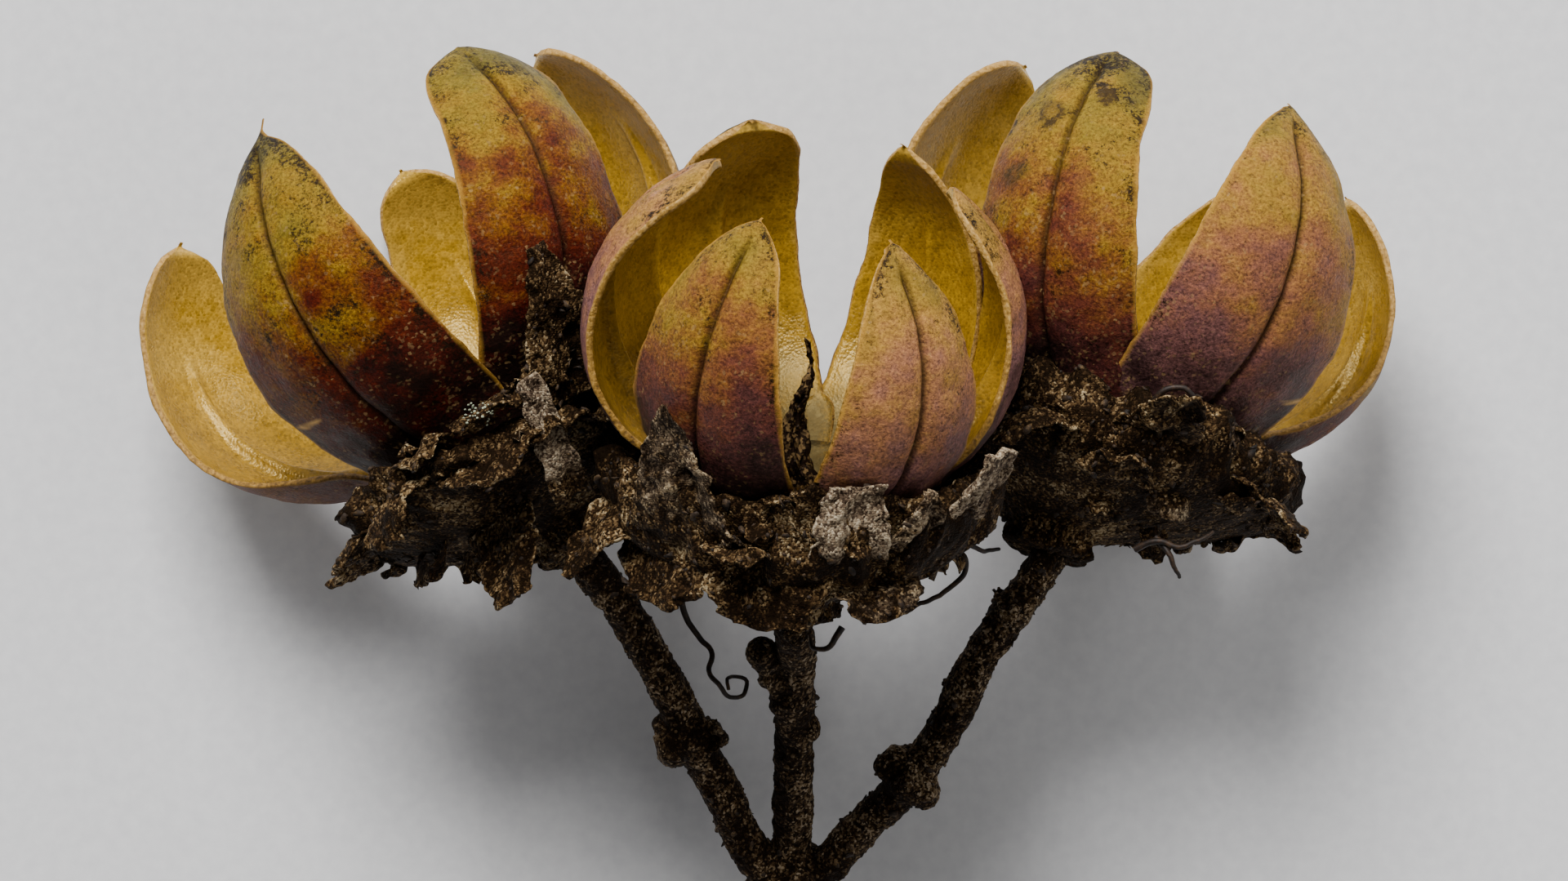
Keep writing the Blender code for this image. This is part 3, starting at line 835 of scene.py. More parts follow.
@dataclass(frozen=True)
class CapsuleLining(Coat):
    """Smooth lining of a capsule: thin golden wood with a satin face of small raised cells."""

    name: str = "satin_capsule_lining"
    roughness: float = 0.35
    specular: float = 0.75
    sheen_colour: str = "#f2d288"
    patch: float = 2.2
    streak: float = 0.45
    # The real cells are about 0.05 mm across, and are drawn twice as wide so that they show
    cell: float = 0.10
    gold: tuple[tuple[float, str], ...] = (
        (0.0, "#0e0903"),
        (0.14, "#271a04"),
        (0.30, "#543c07"),
        (0.52, "#77580e"),
        (0.80, "#8d6a15"),
        (1.0, "#9c7a2a"),
    )

    def material(self) -> bpy.types.Material:
        """Gold that deepens to olive and brown towards the foot, partly as painted shade deep in the cup,
        with a pale ridge that is partly painted highlight, and fine cells.

        Returns:
            The material.
        """
        material, tree, shader, place = self.start()
        along, crease, edge = read(tree, "along", "crease", "edge")
        patch = add(tree, NOISE, {}, {"Vector": place, "Scale": 1 / self.patch, "Detail": 4.0})
        rough = {"Vector": place, "Scale": 1 / self.streak, "Detail": 5.0, "Roughness": 0.6}
        streak = add(tree, NOISE, {}, rough)
        cells = add(tree, "ShaderNodeTexVoronoi", {}, {"Vector": place, "Scale": 1 / self.cell}, "Color")
        height = cells.node.outputs["Distance"]
        # Darker towards the foot: partly the lining's own colour, partly painted shade deep in the cup
        parts = ((along, 1.2), (patch, 0.9), (edge, 0.20), (streak, 0.35), (cells, 0.10))
        level = summed(tree, -0.76, *parts)
        colour = add(tree, RAMP, {"stops": self.gold}, {"Fac": level})
        tone = summed(tree, 0.56, (cells, 0.7), (height, 0.4))
        colour = add(tree, VECTOR, {"operation": "SCALE"}, {"Vector": colour, "Scale": tone})
        # Pale band along the partition, stronger towards the tip: partly pale partition wood, partly painted
        # highlight on the ridge
        ridge = add(tree, MATH, {"operation": "MULTIPLY"}, {0: crease, 1: along})
        ridge = add(tree, MATH, {"operation": "MULTIPLY"}, {0: ridge, 1: 0.3})
        colour = add(tree, MIX, COLOURS, {0: ridge, MIX_A: colour, MIX_B: linear("#ae8940")}, MIXED)
        tree.links.new(colour, shader.inputs["Base Color"])
        gloss = add(tree, RANGE, {}, {0: streak, 1: 0.3, 2: 0.7, 3: 0.24, 4: 0.36})
        foot = add(tree, RANGE, {}, {0: along, 1: 0.42, 2: 0.12, 3: 0.0, 4: 0.4})
        gloss = add(tree, MATH, {"operation": "ADD"}, {0: gloss, 1: foot})
        tree.links.new(gloss, shader.inputs["Roughness"])
        tree.links.new(embossed(tree, (streak, 0.02), (height, -0.010)), shader.inputs["Normal"])
        return material


@dataclass(frozen=True)
class SplitEdge(Coat):
    """Torn edge where two valves came apart: pale fibrous wood, unweathered."""

    name: str = "split_wood_edge"
    # The real fibres are about 0.03 mm thick, and are drawn in bundles so that they show
    fibre: float = 0.13
    tones: tuple[tuple[float, str], ...] = (
        (0.25, "#2c1c08"),
        (0.45, "#6b4c16"),
        (0.62, "#96702c"),
        (0.8, "#b58f50"),
    )

    def material(self) -> bpy.types.Material:
        """Pale gold broken by darker fibres, brown towards the foot.

        Returns:
            The material.
        """
        material, tree, shader, place = self.start()
        (along,) = read(tree, "along")
        rough = {"Vector": place, "Scale": 1 / self.fibre, "Detail": 5.0, "Roughness": 0.6}
        fibre = add(tree, NOISE, {}, rough)
        level = summed(tree, -0.10, (along, 0.30), (fibre, 1.0))
        colour = add(tree, RAMP, {"stops": self.tones}, {"Fac": level})
        tree.links.new(colour, shader.inputs["Base Color"])
        tree.links.new(embossed(tree, (fibre, 0.05)), shader.inputs["Normal"])
        return material


@dataclass(frozen=True)
class Scurfy(Coat):
    """Dead plant skin of fine grains: near-black where it is folded in, which is partly painted shade,
    golden tan where grains gather, and grey where it is papery."""

    name: str = "dried_calyx_tissue"
    roughness: float = 0.8
    specular: float = 0.22
    sheen_colour: str = "#c49a6c"
    zone: float = 1.5
    fold: float = 0.45
    # The real grains are about 0.04 mm across, and are drawn coarser so that they show
    grit: float = 0.075
    dark: float = 1.0
    tones: tuple[tuple[float, str], ...] = (
        (0.0, "#050302"),
        (0.38, "#0f0905"),
        (0.54, "#271a0f"),
        (0.70, "#4a3822"),
        (0.86, "#755f41"),
        (1.0, "#978565"),
    )
    paper: tuple[tuple[float, str], ...] = (
        (0.2, "#19120e"),
        (0.45, "#4a3c30"),
        (0.62, "#786752"),
        (0.85, "#a3947c"),
    )

    def material(self) -> bpy.types.Material:
        """Tone follows the relief, with painted shade in folds and wear and painted highlight on crests, and
        drifts of grains. Single grains give the sparkle.

        Returns:
            The material.
        """
        material, tree, shader, place = self.start()
        relief_wear_and_shade, papery = read(tree, "proud", "papery")
        zone = add(tree, NOISE, {}, {"Vector": place, "Scale": 1 / self.zone, "Detail": 3.0})
        rough = {"Vector": place, "Scale": 1 / self.fold, "Detail": 5.0, "Roughness": 0.62}
        fold = add(tree, NOISE, {}, rough)
        grains = add(tree, "ShaderNodeTexVoronoi", {}, {"Vector": place, "Scale": 1 / self.grit}, "Color")
        height = grains.node.outputs["Distance"]
        # Folds and crests set the tone: darker in folds as painted shade, lighter on crests as wear and
        # painted highlight
        parts = ((zone, 1.3), (fold, 0.8), (grains, 0.85), (relief_wear_and_shade, 0.18))
        level = summed(tree, -self.dark, *parts)
        colour = add(tree, RAMP, {"stops": self.tones}, {"Fac": level})
        level = summed(tree, -0.62, (zone, 0.7), (fold, 0.8), (grains, 0.75), (relief_wear_and_shade, 0.15))
        grey = add(tree, RAMP, {"stops": self.paper}, {"Fac": level})
        lobes = summed(tree, 0.0, (fold, 0.8), (papery, 1.0))
        lobes = add(tree, RANGE, {}, {0: lobes, 1: 0.75, 2: 1.15})
        colour = add(tree, MIX, COLOURS, {0: lobes, MIX_A: colour, MIX_B: grey}, MIXED)
        tree.links.new(colour, shader.inputs["Base Color"])
        tree.links.new(embossed(tree, (fold, 0.10), (height, -0.035)), shader.inputs["Normal"])
        return material


@dataclass(frozen=True)
class Bark(Scurfy):
    """Thin scurfy bark of a dry twig: dark brown under a close layer of tan grains."""

    name: str = "scurfy_twig_bark"
    zone: float = 1.8
    fold: float = 0.22
    dark: float = 1.09
    tones: tuple[tuple[float, str], ...] = (
        (0.0, "#050303"),
        (0.40, "#0e0906"),
        (0.56, "#251a10"),
        (0.70, "#4a3a27"),
        (0.86, "#75634b"),
        (1.0, "#8f7f69"),
    )


@dataclass(frozen=True)
class CutWood(Coat):
    """Cut end of the stem: pale straw wood with fine pores, a brown pith and a dark rim of bark."""

    name: str = "cut_stem_wood"
    roughness: float = 0.7
    # The real pores are about 0.04 mm wide, and are drawn coarser so that they show
    pore: float = 0.07
    tones: tuple[tuple[float, str], ...] = (
        (0.0, "#3a2812"),
        (0.16, "#6b4e28"),
        (0.28, "#9c8257"),
        (0.78, "#8a6f45"),
        (0.9, "#3b2a17"),
        (1.0, "#140d08"),
    )

    def material(self) -> bpy.types.Material:
        """Tone follows the distance from the pith, broken by growth rings and pores.

        Returns:
            The material.
        """
        material, tree, shader, place = self.start()
        (ring,) = read(tree, "ring")
        pores = add(tree, NOISE, {}, {"Vector": place, "Scale": 1 / self.pore, "Detail": 3.0})
        level = summed(tree, -0.08, (ring, 1.0), (pores, 0.16))
        colour = add(tree, RAMP, {"stops": self.tones}, {"Fac": level})
        tone = summed(tree, 0.3, (pores, 1.4))
        colour = add(tree, VECTOR, {"operation": "SCALE"}, {"Vector": colour, "Scale": tone})
        tree.links.new(colour, shader.inputs["Base Color"])
        tree.links.new(embossed(tree, (pores, 0.03)), shader.inputs["Normal"])
        return material


@dataclass(frozen=True)
class Crumbs(Coat):
    """Loose crumbs of dead tissue and dust, tan to near-black."""

    name: str = "scurf_crumbs"
    roughness: float = 0.75
    patch: float = 0.5
    tones: tuple[tuple[float, str], ...] = (
        (0.38, "#0a0604"),
        (0.52, "#2c1e10"),
        (0.64, "#5e4726"),
        (0.8, "#8f7850"),
    )

    def material(self) -> bpy.types.Material:
        """Each crumb takes its tone from where it lies.

        Returns:
            The material.
        """
        material, tree, shader, place = self.start()
        rough = {"Vector": place, "Scale": 1 / self.patch, "Detail": 6.0, "Roughness": 0.85}
        patch = add(tree, NOISE, {}, rough)
        colour = add(tree, RAMP, {"stops": self.tones}, {"Fac": patch})
        tree.links.new(colour, shader.inputs["Base Color"])
        return material


@dataclass(frozen=True)
class ThreadSkin(Crumbs):
    """Dried stamen stalk: a brown horny thread with scurf on it."""

    name: str = "dried_stamen_thread"
    roughness: float = 0.6
    patch: float = 0.35
    tones: tuple[tuple[float, str], ...] = (
        (0.35, "#0a0604"),
        (0.50, "#1d120a"),
        (0.62, "#3d2a18"),
        (0.78, "#6e5436"),
    )


@dataclass(frozen=True)
class PaleGranules(Crumbs):
    """A cluster of minute pale eggs or spores at a valve's foot, off-white with a green cast."""

    name: str = "pale_granules"
    roughness: float = 0.45
    patch: float = 0.2
    tones: tuple[tuple[float, str], ...] = ((0.35, "#6f7560"), (0.6, "#a9ad93"))


@dataclass(frozen=True)
class StudioBoard(Coat):
    """Pale matt card that the sprig lies on, with a faint felted grain."""

    name: str = "pale_matt_card"
    roughness: float = 0.9
    specular: float = 0.2
    felt: float = 0.5

    def material(self) -> bpy.types.Material:
        """Near-even grey with a faint mottle.

        Returns:
            The material.
        """
        material, tree, shader, place = self.start()
        felt = add(tree, NOISE, {}, {"Vector": place, "Scale": 1 / self.felt, "Detail": 4.0})
        stops = {"stops": ((0.3, "#cfcecf"), (0.7, "#d8d7d7"))}
        tree.links.new(add(tree, RAMP, stops, {"Fac": felt}), shader.inputs["Base Color"])
        tree.links.new(embossed(tree, (felt, 0.006)), shader.inputs["Normal"])
        return material


@dataclass(frozen=True)
class Loose:
    """How one kind of bit lies on a skin: how many to a square millimetre, their sizes and tilt."""

    bit: Bit
    density: float
    smallest: float
    largest: float
    tilt: float = 1.0


@dataclass(frozen=True)
class Litter:
    """What crumbles off the sprig and lies on it: one bit of each kind, and how they are strewn."""

    tree: bpy.types.NodeTree
    finish: bpy.types.Material
    bits: dict[Bit, bpy.types.Object]
    seed: int = 11

    def strewn(self, mesh: bpy.types.Mesh, kinds: Sequence[Loose]) -> bpy.types.Mesh:
        """Strews bits over a skin.

        Args:
            mesh: The skin.
            kinds: What lies on it.

        Returns:
            The skin with its bits.
        """
        for number, loose in enumerate(kinds):
            settings = {
                "Bit": self.bits[loose.bit],
                "Density": loose.density,
                "Smallest": loose.smallest,
                "Largest": loose.largest,
                "Tilt": loose.tilt,
                "Seed": self.seed + number,
                "Finish": self.finish,
            }
            mesh = grown(mesh, self.tree, settings)
        return mesh

    def clear(self) -> None:
        """Takes the single bits out of the scene."""
        for bit in self.bits.values():
            bpy.data.objects.remove(bit, do_unlink=True)


@dataclass(frozen=True)
class Stance:
    """How a capsule stands: its foot, how its axis leans and tilts, and its neck's shift."""

    base: tuple[float, float, float]
    lean: float
    tilt: float
    neck: float

    def placed(self, points: np.ndarray) -> np.ndarray:
        """Takes points from the capsule's own frame to the row's.

        Args:
            points: Places up, to the right and along the capsule's axis.

        Returns:
            The same places in the row's frame.
        """
        lean, tilt = math.radians(self.lean), math.radians(self.tilt)
        axis = np.array(
            (math.sin(lean) * math.cos(tilt), math.cos(lean) * math.cos(tilt), math.sin(tilt))
        )
        up = np.array((0.0, 0.0, 1.0)) - axis * axis[2]
        up /= np.linalg.norm(up)
        turn = np.stack((up, np.cross(axis, up), axis))
        return points @ turn + np.array(self.base) - CENTRE


def turned(radius: Number, across: Number, height: Number, azimuth: float) -> np.ndarray:
    """Turns points about a capsule's axis.

    Args:
        radius: How far out they lie.
        across: How far aside.
        height: How far along the axis.
        azimuth: The turn in radians.

    Returns:
        Places in the capsule's own frame.
    """
    cos, sin = math.cos(azimuth), math.sin(azimuth)
    rows = (radius * cos - across * sin, radius * sin + across * cos, height + 0.0 * across)
    return np.stack(np.broadcast_arrays(*rows), axis=-1)


def spread(count: int) -> np.ndarray:
    """Shares from -1 to 1 that lie closer together near the middle."""
    even = np.linspace(-1.0, 1.0, count)
    return np.sign(even) * np.abs(even) ** 1.3


@dataclass(frozen=True)
class Valve:
    """One boat-shaped valve of a split capsule.

    The first seven fields are those of its solid. The others give its own looks: how mauve its
    stain is, how far the stain reaches, how mouldy it is, how blunt its top is, how far its tip
    leans aside, and the length and bend of its beak. A bruise is a ring, given by its place across,
    its share along and its radius. A scratch is a line from one such place to another.
    """

    azimuth: float
    opening: float
    length: float = 1.0
    width: float = 1.0
    lean: float = 0.0
    twist: float = 0.0
    curl: float = 0.0
    mauve: float = 0.0
    stain: float = 0.0
    mouldy: float = 0.0
    blunt: float = 0.0
    skew: float = 0.0
    beak: float = 0.5
    hook: float = 20.0
    bruises: tuple[tuple[float, float, float], ...] = ()
    scratch: tuple[float, ...] = ()

    def angle_at(self, share: np.ndarray) -> np.ndarray:
        """The wall's angle from the axis, in radians."""
        opened = self.opening * ease((share - HINGE_FROM) / HINGE_SPAN)
        return np.radians(ROOT_ANGLE - (WALL_TURN + self.curl) * share + opened)

    def line(self) -> tuple[np.ndarray, np.ndarray, np.ndarray, np.ndarray]:
        """The middle line of the outer face, up to the end of the beak.

        Returns:
            Share of the valve's length, radius, height and angle at each row.
        """
        share = np.arange(ROWS + 1) / ROWS
        step = np.full(ROWS, WALL_LENGTH * self.length / ROWS)
        angle = self.angle_at((share[:-1] + share[1:]) / 2)
        bend = math.radians(self.hook) * (np.arange(BEAK_ROWS) + 0.5) / BEAK_ROWS
        angle = np.concatenate((angle, angle[-1] - bend))
        step = np.concatenate((step, np.full(BEAK_ROWS, self.beak / BEAK_ROWS)))
        share = np.concatenate((share, 1.0 + np.arange(1, BEAK_ROWS + 1) / BEAK_ROWS))
        radius = ROOT_RADIUS + np.concatenate(((0.0,), np.cumsum(np.sin(angle) * step)))
        height = ROOT_HEIGHT + np.concatenate(((0.0,), np.cumsum(np.cos(angle) * step)))
        return share, radius, height, np.concatenate((angle, angle[-1:]))

    def half_widths(self, share: np.ndarray) -> np.ndarray:
        """Half the valve's width, down to the point of its beak.

        Args:
            share: The share of the valve's length at each row.

        Returns:
            One half width a row.
        """
        bend = WALL_LENGTH / math.radians(WALL_TURN)
        inside = np.minimum(share, 1.0)
        angle = np.radians(ROOT_ANGLE - WALL_TURN * inside)
        closed = ROOT_RADIUS + bend * (np.cos(angle) - math.cos(math.radians(ROOT_ANGLE)))
        power = FULLNESS * (1.0 - self.blunt * ease((inside - 0.5) / 0.5))
        half = HALF_WIDTH * self.width * (np.maximum(closed, 0.0) / FULL_RADIUS) ** power
        # The valves are still one bowl at their feet, so they meet there
        foot = 0.66 * closed * (1.0 - ease((inside - 0.24) / 0.2))
        half = np.maximum(np.maximum(half, foot), TIP_HALF_WIDTH)
        beyond = np.clip(share - 1.0, 0.0, 1.0)
        return half * (1.0 - 0.85 * ease(beyond / 0.5) ** 0.7)

    def marks(self, across: np.ndarray, span: np.ndarray) -> np.ndarray:
        """Where the valve is bruised or scratched.

        Args:
            across: Places across the flattened valve.
            span: Places along it.

        Returns:
            Above 0 on a bruise and below 0 on the scratch.
        """
        total = np.zeros(across.shape)
        for at, share, radius in self.bruises:
            far = np.hypot(across - at, span - share * WALL_LENGTH * self.length)
            far = far * (1.0 + 0.25 * np.sin(5.0 * across + 3.0 * span))
            total = total + np.exp(-(((far - radius) / 0.16) ** 2)) + 0.4 * (far < radius)
        if self.scratch:
            x0, share0, x1, share1 = self.scratch
            start = np.array((x0, share0 * WALL_LENGTH * self.length))
            run = np.array((x1, share1 * WALL_LENGTH * self.length)) - start
            part = ((across - start[0]) * run[0] + (span - start[1]) * run[1]) / run.dot(run)
            part = np.clip(part, 0.0, 1.0)
            far = np.hypot(across - start[0] - part * run[0], span - start[1] - part * run[1])
            total = total - np.exp(-((far / (0.06 + 0.10 * part)) ** 2))
        return total

    def laid(self, across: np.ndarray, out: np.ndarray) -> np.ndarray:
        """Bends the flattened valve to its line, with its twist, its lean and its skewed tip.

        Args:
            across: Places across the flattened valve, one row of them for each row of its line.
            out: How far each stands out from the line.

        Returns:
            The places in the capsule's own frame.
        """
        share, radius, height, angle = (numbers[:, None] for numbers in self.line())
        twist = np.radians(self.twist) * ease((share - 0.2) / 0.4)
        lean = np.radians(self.lean) * ease((share - 0.15) / 0.25)
        hinge = height[round(0.25 * ROWS), 0]
        spun = across * np.cos(twist) - out * np.sin(twist)
        out = across * np.sin(twist) + out * np.cos(twist)
        up = height - out * np.sin(angle)
        above = np.maximum(up - hinge, 0.0)
        aside = spun * np.cos(lean) + above * np.sin(lean) + self.skew * ease((share - 0.5) / 0.5)
        up = np.where(up > hinge, hinge + above * np.cos(lean) - spun * np.sin(lean), up)
        points = turned(radius + out * np.cos(angle), aside, up, math.radians(self.azimuth))
        return points.reshape(-1, 3)

    def skin(self, rows: int, count: int) -> tuple[list[tuple[int, ...]], list[int]]:
        """The faces of the valve's closed skin. Its last point is the beak's.

        Args:
            rows: How many rings of points there are.
            count: How many points a ring has.

        Returns:
            The faces, and the number of each one's finish.
        """
        margin = (count - OUTSIDE_COLUMNS - INSIDE_COLUMNS) // 2 + 1
        kinds = [Face.OUTSIDE] * (OUTSIDE_COLUMNS - 1) + [Face.SPLIT_EDGE] * margin
        kinds += [Face.LINING] * (INSIDE_COLUMNS - 1) + [Face.SPLIT_EDGE] * margin
        ring = [kind.value for kind in kinds]
        last = (rows - 1) * count
        beak = last + count
        faces = ring_faces(rows, count)
        faces += [(last + i, last + (i + 1) % count, beak) for i in range(count)]
        faces.append(tuple(range(count)))
        return faces, ring * rows + [Face.OUTSIDE.value]

    def shell(self) -> Shell:
        """Builds the valve from its outer face, its inner face and its two split margins.

        Returns:
            The valve's closed skin in its capsule's own frame.
        """
        share = self.line()[0]
        half = self.half_widths(share)
        column = (slice(None), None)
        span = np.minimum(share, 1.0) * WALL_LENGTH * self.length
        narrow = np.minimum(1.0, half / 1.2)[column]
        beyond = np.clip(share - 1.0, 0.0, 1.0)[column]
        groove = (ease(share / 0.15) * ease((1.0 - share) / 0.10))[column]
        ribbed = np.sin(np.pi * np.minimum(share + 0.18, 1.0))[column]
        arc = half[column] / math.sin(CUP_ANGLE)
        seed = self.azimuth / 57.0 + self.length * 3.0

        def at(across: np.ndarray) -> np.ndarray:
            """Places on the flattened valve, where its patterns are read."""
            along = np.broadcast_to(span[column], across.shape)
            return np.stack((across, along, np.full(across.shape, seed * 9.0)), axis=-1)

        # Outer face: a sunken crease with soft shoulders, shrinkage wrinkles and a thin lip
        outer = spread(OUTSIDE_COLUMNS)[None]
        out_across = arc * np.sin(CUP_ANGLE * outer)
        wander = 0.10 * np.sin(share * 7.0 + seed)[column]
        crease = np.exp(-np.abs((out_across - wander) / (CREASE_WIDTH * narrow)) ** 1.4) * groove
        shoulder = np.exp(-((out_across - wander) / (SHOULDER_WIDTH * narrow)) ** 2) * groove
        flat = at(out_across)
        striae = grain(flat * np.array((4.0, 0.35, 1.0)), 1.0, 2.0)
        shrunk = 1.0 + 1.2 * ease((0.5 - share) / 0.35)[column]
        rough = 0.055 * grain(flat, 1.1) + 0.022 * grain(flat, 0.38) + 0.018 * striae
        lip = LIP * np.exp(-(((1.0 - np.abs(outer)) / 0.05) ** 2)) * narrow
        out_out = -arc * (1.0 - np.cos(CUP_ANGLE * outer)) - CREASE_DEPTH * narrow * crease
        out_out = out_out - SHOULDER_DEPTH * shoulder * narrow + rough * shrunk * narrow + lip
        # Inner face: two satin troughs either side of a thin wavy partition
        inner = -INSIDE_SPAN * spread(INSIDE_COLUMNS)[None]
        in_across = arc * np.sin(CUP_ANGLE * inner)
        wall = (WALL_MIDDLE + (WALL_EDGE - WALL_MIDDLE) * inner**2) * (1.0 - 0.8 * ease(2.0 * beyond))
        wall = wall * np.minimum(1.0, 0.35 + half[column])
        swing = 0.08 * np.sin(share * 9.0 + 2.0 * seed)[column]
        blade = np.exp(-(((in_across - swing) / (SEPTUM_WIDTH * narrow)) ** 4)) * ribbed
        flare = np.exp(-(((in_across - swing) / (0.55 * narrow)) ** 2)) * ribbed
        flat_in = at(in_across)
        tall = SEPTUM_HEIGHT * (1.0 + 0.12 * grain(flat_in, 1.5, 3.0))
        soft = 0.03 * grain(flat_in, 0.9, 5.0) + 0.010 * grain(flat_in * np.array((1, 3, 1)), 0.6, 6.0)
        in_out = -arc * (1.0 - np.cos(CUP_ANGLE * inner)) - wall + soft * narrow
        in_out = in_out - (tall * blade + 0.16 * flare) * narrow
        # Split margins: rounded, a little ragged, different on either side
        turns = np.array((0.25, 0.5, 0.75))[None]
        bulge = 0.05 * narrow * np.sin(np.pi * turns)
        right = out_across[:, -1:] + (in_across[:, :1] - out_across[:, -1:]) * turns + bulge
        right_out = out_out[:, -1:] + (in_out[:, :1] - out_out[:, -1:]) * turns
        left = in_across[:, -1:] + (out_across[:, :1] - in_across[:, -1:]) * turns - bulge
        left_out = in_out[:, -1:] + (out_out[:, :1] - in_out[:, -1:]) * turns
        across = np.hstack((out_across, right, in_across, left))
        out = np.hstack((out_out, right_out, in_out, left_out))
        reach = np.clip(np.abs(across) / np.maximum(half[column], 1e-6), 0.0, 1.0) ** 6
        for side in (-1.0, 1.0):
            torn = np.stack((span, span * 0.0 + side * 5.0, span * 0.0 + seed), axis=-1)
            ragged = 0.11 * grain(torn, 1.6) + 0.04 * grain(torn, 0.6) + 0.02 * grain(torn, 0.21)
            across = across + ragged[column] * reach * (np.sign(across) == side) * narrow
        marks = self.marks(across, np.broadcast_to(span[column], across.shape))
        points = self.laid(across, out)
        faces, slots = self.skin(*across.shape)
        beak = points[-across.shape[1] :].mean(axis=0)
        points = np.vstack((points, beak))
        margin = (1.0 - np.abs(across) / np.maximum(half[column], 1e-6)) * half[column]
        edge = np.clip(1.0 - margin / 0.6, 0.0, 1.0)
        ridge = np.hstack((crease, 0.0 * right, flare**2, 0.0 * left))
        along = np.broadcast_to(np.minimum(share, 1.0)[column], across.shape)

        def per_point(numbers: np.ndarray) -> np.ndarray:
            """One number a point, the beak's included."""
            return np.append(np.broadcast_to(numbers, across.shape).reshape(-1), numbers[-1, -1])

        tipward = self.mouldy + 0.45 * ease((share - 0.72) / 0.3)[column] + 0.0 * across
        values = {
            "along": per_point(along),
            "edge": per_point(edge),
            "crease": per_point(ridge),
            "mouldy": per_point(tipward),
            "mark": per_point(marks),
            "crumbly": per_point(0.9 * ease((0.20 - along) / 0.12)),
            "mauve": np.full(len(points), self.mauve),
            "stain": np.full(len(points), self.stain),
        }
        return Shell(points, faces, slots, values)


@dataclass
class Capsule:
    """One split capsule: its valves, the bowl they part from and the stump of its seed column."""

    side: str
    stance: Stance
    valves: tuple[Valve, ...]
    wisp: float = 0.0
    bowl_top: float = 0.22
    bowl_skin: float = 0.10
    bowl_wall: float = 0.34
    bowl_rings: int = 10
    bowl_steps: int = 96
    column_radius: float = 0.95
    column_top_radius: float = 0.35
    column_height: float = 3.4
    column_rows: int = 60
    column_sides: int = 40
    dust: tuple[Loose, ...] = (Loose(Bit.CRUMB, 2.2, 0.03, 0.08),)

    def bowl(self) -> Shell:
        """Builds the undivided foot of the capsule.

        Returns:
            Its closed skin in the capsule's own frame.
        """
        bend = WALL_LENGTH / math.radians(WALL_TURN)
        share = self.bowl_top * np.arange(self.bowl_rings + 1) / self.bowl_rings
        angle = np.radians(ROOT_ANGLE - WALL_TURN * share)
        start = math.radians(ROOT_ANGLE)
        radius = ROOT_RADIUS + bend * (np.cos(angle) - math.cos(start))
        height = ROOT_HEIGHT + bend * (math.sin(start) - np.sin(angle))
        skins = [
            np.stack((radius - wall * np.cos(angle), height + wall * np.sin(angle)), axis=1)
            for wall in (self.bowl_wall, self.bowl_skin)
        ]
        floor = np.array(((0.0, skins[0][0, 1]),))
        foot = np.array(((0.0, ROOT_HEIGHT - 0.35),))
        profile = np.vstack((floor, skins[0], skins[1][::-1], foot))
        around = np.arange(self.bowl_steps) * math.tau / self.bowl_steps
        points = np.stack(
            (
                np.outer(profile[:, 0], np.cos(around)),
                np.outer(profile[:, 0], np.sin(around)),
                np.repeat(profile[:, 1:], self.bowl_steps, axis=1),
            ),
            axis=-1,
        ).reshape(-1, 3)
        faces = ring_faces(len(profile), self.bowl_steps)
        inner = (self.bowl_rings + 1) * self.bowl_steps
        slots = [Face.LINING.value] * inner + [Face.OUTSIDE.value] * (len(faces) - inner)
        along = np.concatenate(((0.0,), share, share[::-1], (0.0,)))
        values = {
            "along": np.repeat(along, self.bowl_steps),
            "crumbly": np.repeat(ease(1.0 - along / 0.15), self.bowl_steps),
        }
        return Shell(points, faces, slots, values)

    def column(self) -> Shell:
        """Builds the broken seed column: a fluted stump with a dry wisp left on it.

        Returns:
            Its closed skin in the capsule's own frame.
        """
        top = self.column_height + self.wisp
        low = ROOT_HEIGHT + 0.3
        rise = np.linspace(0.0, top, self.column_rows)
        share = np.minimum(rise / self.column_height, 1.0)
        radius = self.column_radius + (self.column_top_radius - self.column_radius) * share**0.8
        thin = ease((rise - self.column_height * 0.85) / (top - self.column_height * 0.85))
        radius = radius * (1.0 - 0.72 * thin)
        around = np.arange(self.column_sides) * math.tau / self.column_sides
        fluted = 1.0 + 0.20 * np.sin(6 * around)[None] + 0.08 * np.sin(13 * around + 1.0)[None]
        ring = radius[:, None] * fluted
        sway = np.stack((0.25 * share + 0.15 * np.sin(rise), -0.15 * share + 0.18 * np.sin(1.3 * rise)), 1)
        points = np.stack(
            (
                ring * np.cos(around)[None] + sway[:, :1],
                ring * np.sin(around)[None] + sway[:, 1:],
                np.broadcast_to(low + rise[:, None], ring.shape),
            ),
            axis=-1,
        )
        flat = points * np.array((1.0, 1.0, 0.35))
        points = points + 0.34 * np.stack([grain(flat, 0.5, seed) for seed in (1, 2, 3)], axis=-1)
        points = points + 0.10 * np.stack([grain(points, 0.2, seed) for seed in (4, 5, 6)], axis=-1)
        points = points.reshape(-1, 3)
        faces = ring_faces(self.column_rows, self.column_sides)
        pale = Face.SPLIT_EDGE.value
        dark = Face.OUTSIDE.value
        slots = [pale if face[0] // self.column_sides < self.column_rows * 0.3 else dark for face in faces]
        faces.append(tuple(range(self.column_sides)))
        last = len(points) - self.column_sides
        faces.append(tuple(range(last, len(points))))
        slots += [dark, dark]
        values = {"along": np.full(len(points), -0.4), "crumbly": np.full(len(points), 1.0)}
        return Shell(points, faces, slots, values)

    def shell(self) -> Shell:
        """Puts bowl, column and valves together, flattened where they rest on the surface.

        Returns:
            The capsule in the row's frame.
        """
        whole = joined([self.bowl(), self.column()] + [valve.shell() for valve in self.valves])
        whole.points = self.stance.placed(whole.points)
        height = whole.points[:, 2]
        soft = REST_SOFTNESS * np.exp(np.minimum(height / REST_SOFTNESS - 1.0, 0.0))
        whole.points[:, 2] = np.where(height < REST_SOFTNESS, soft, height)
        return whole

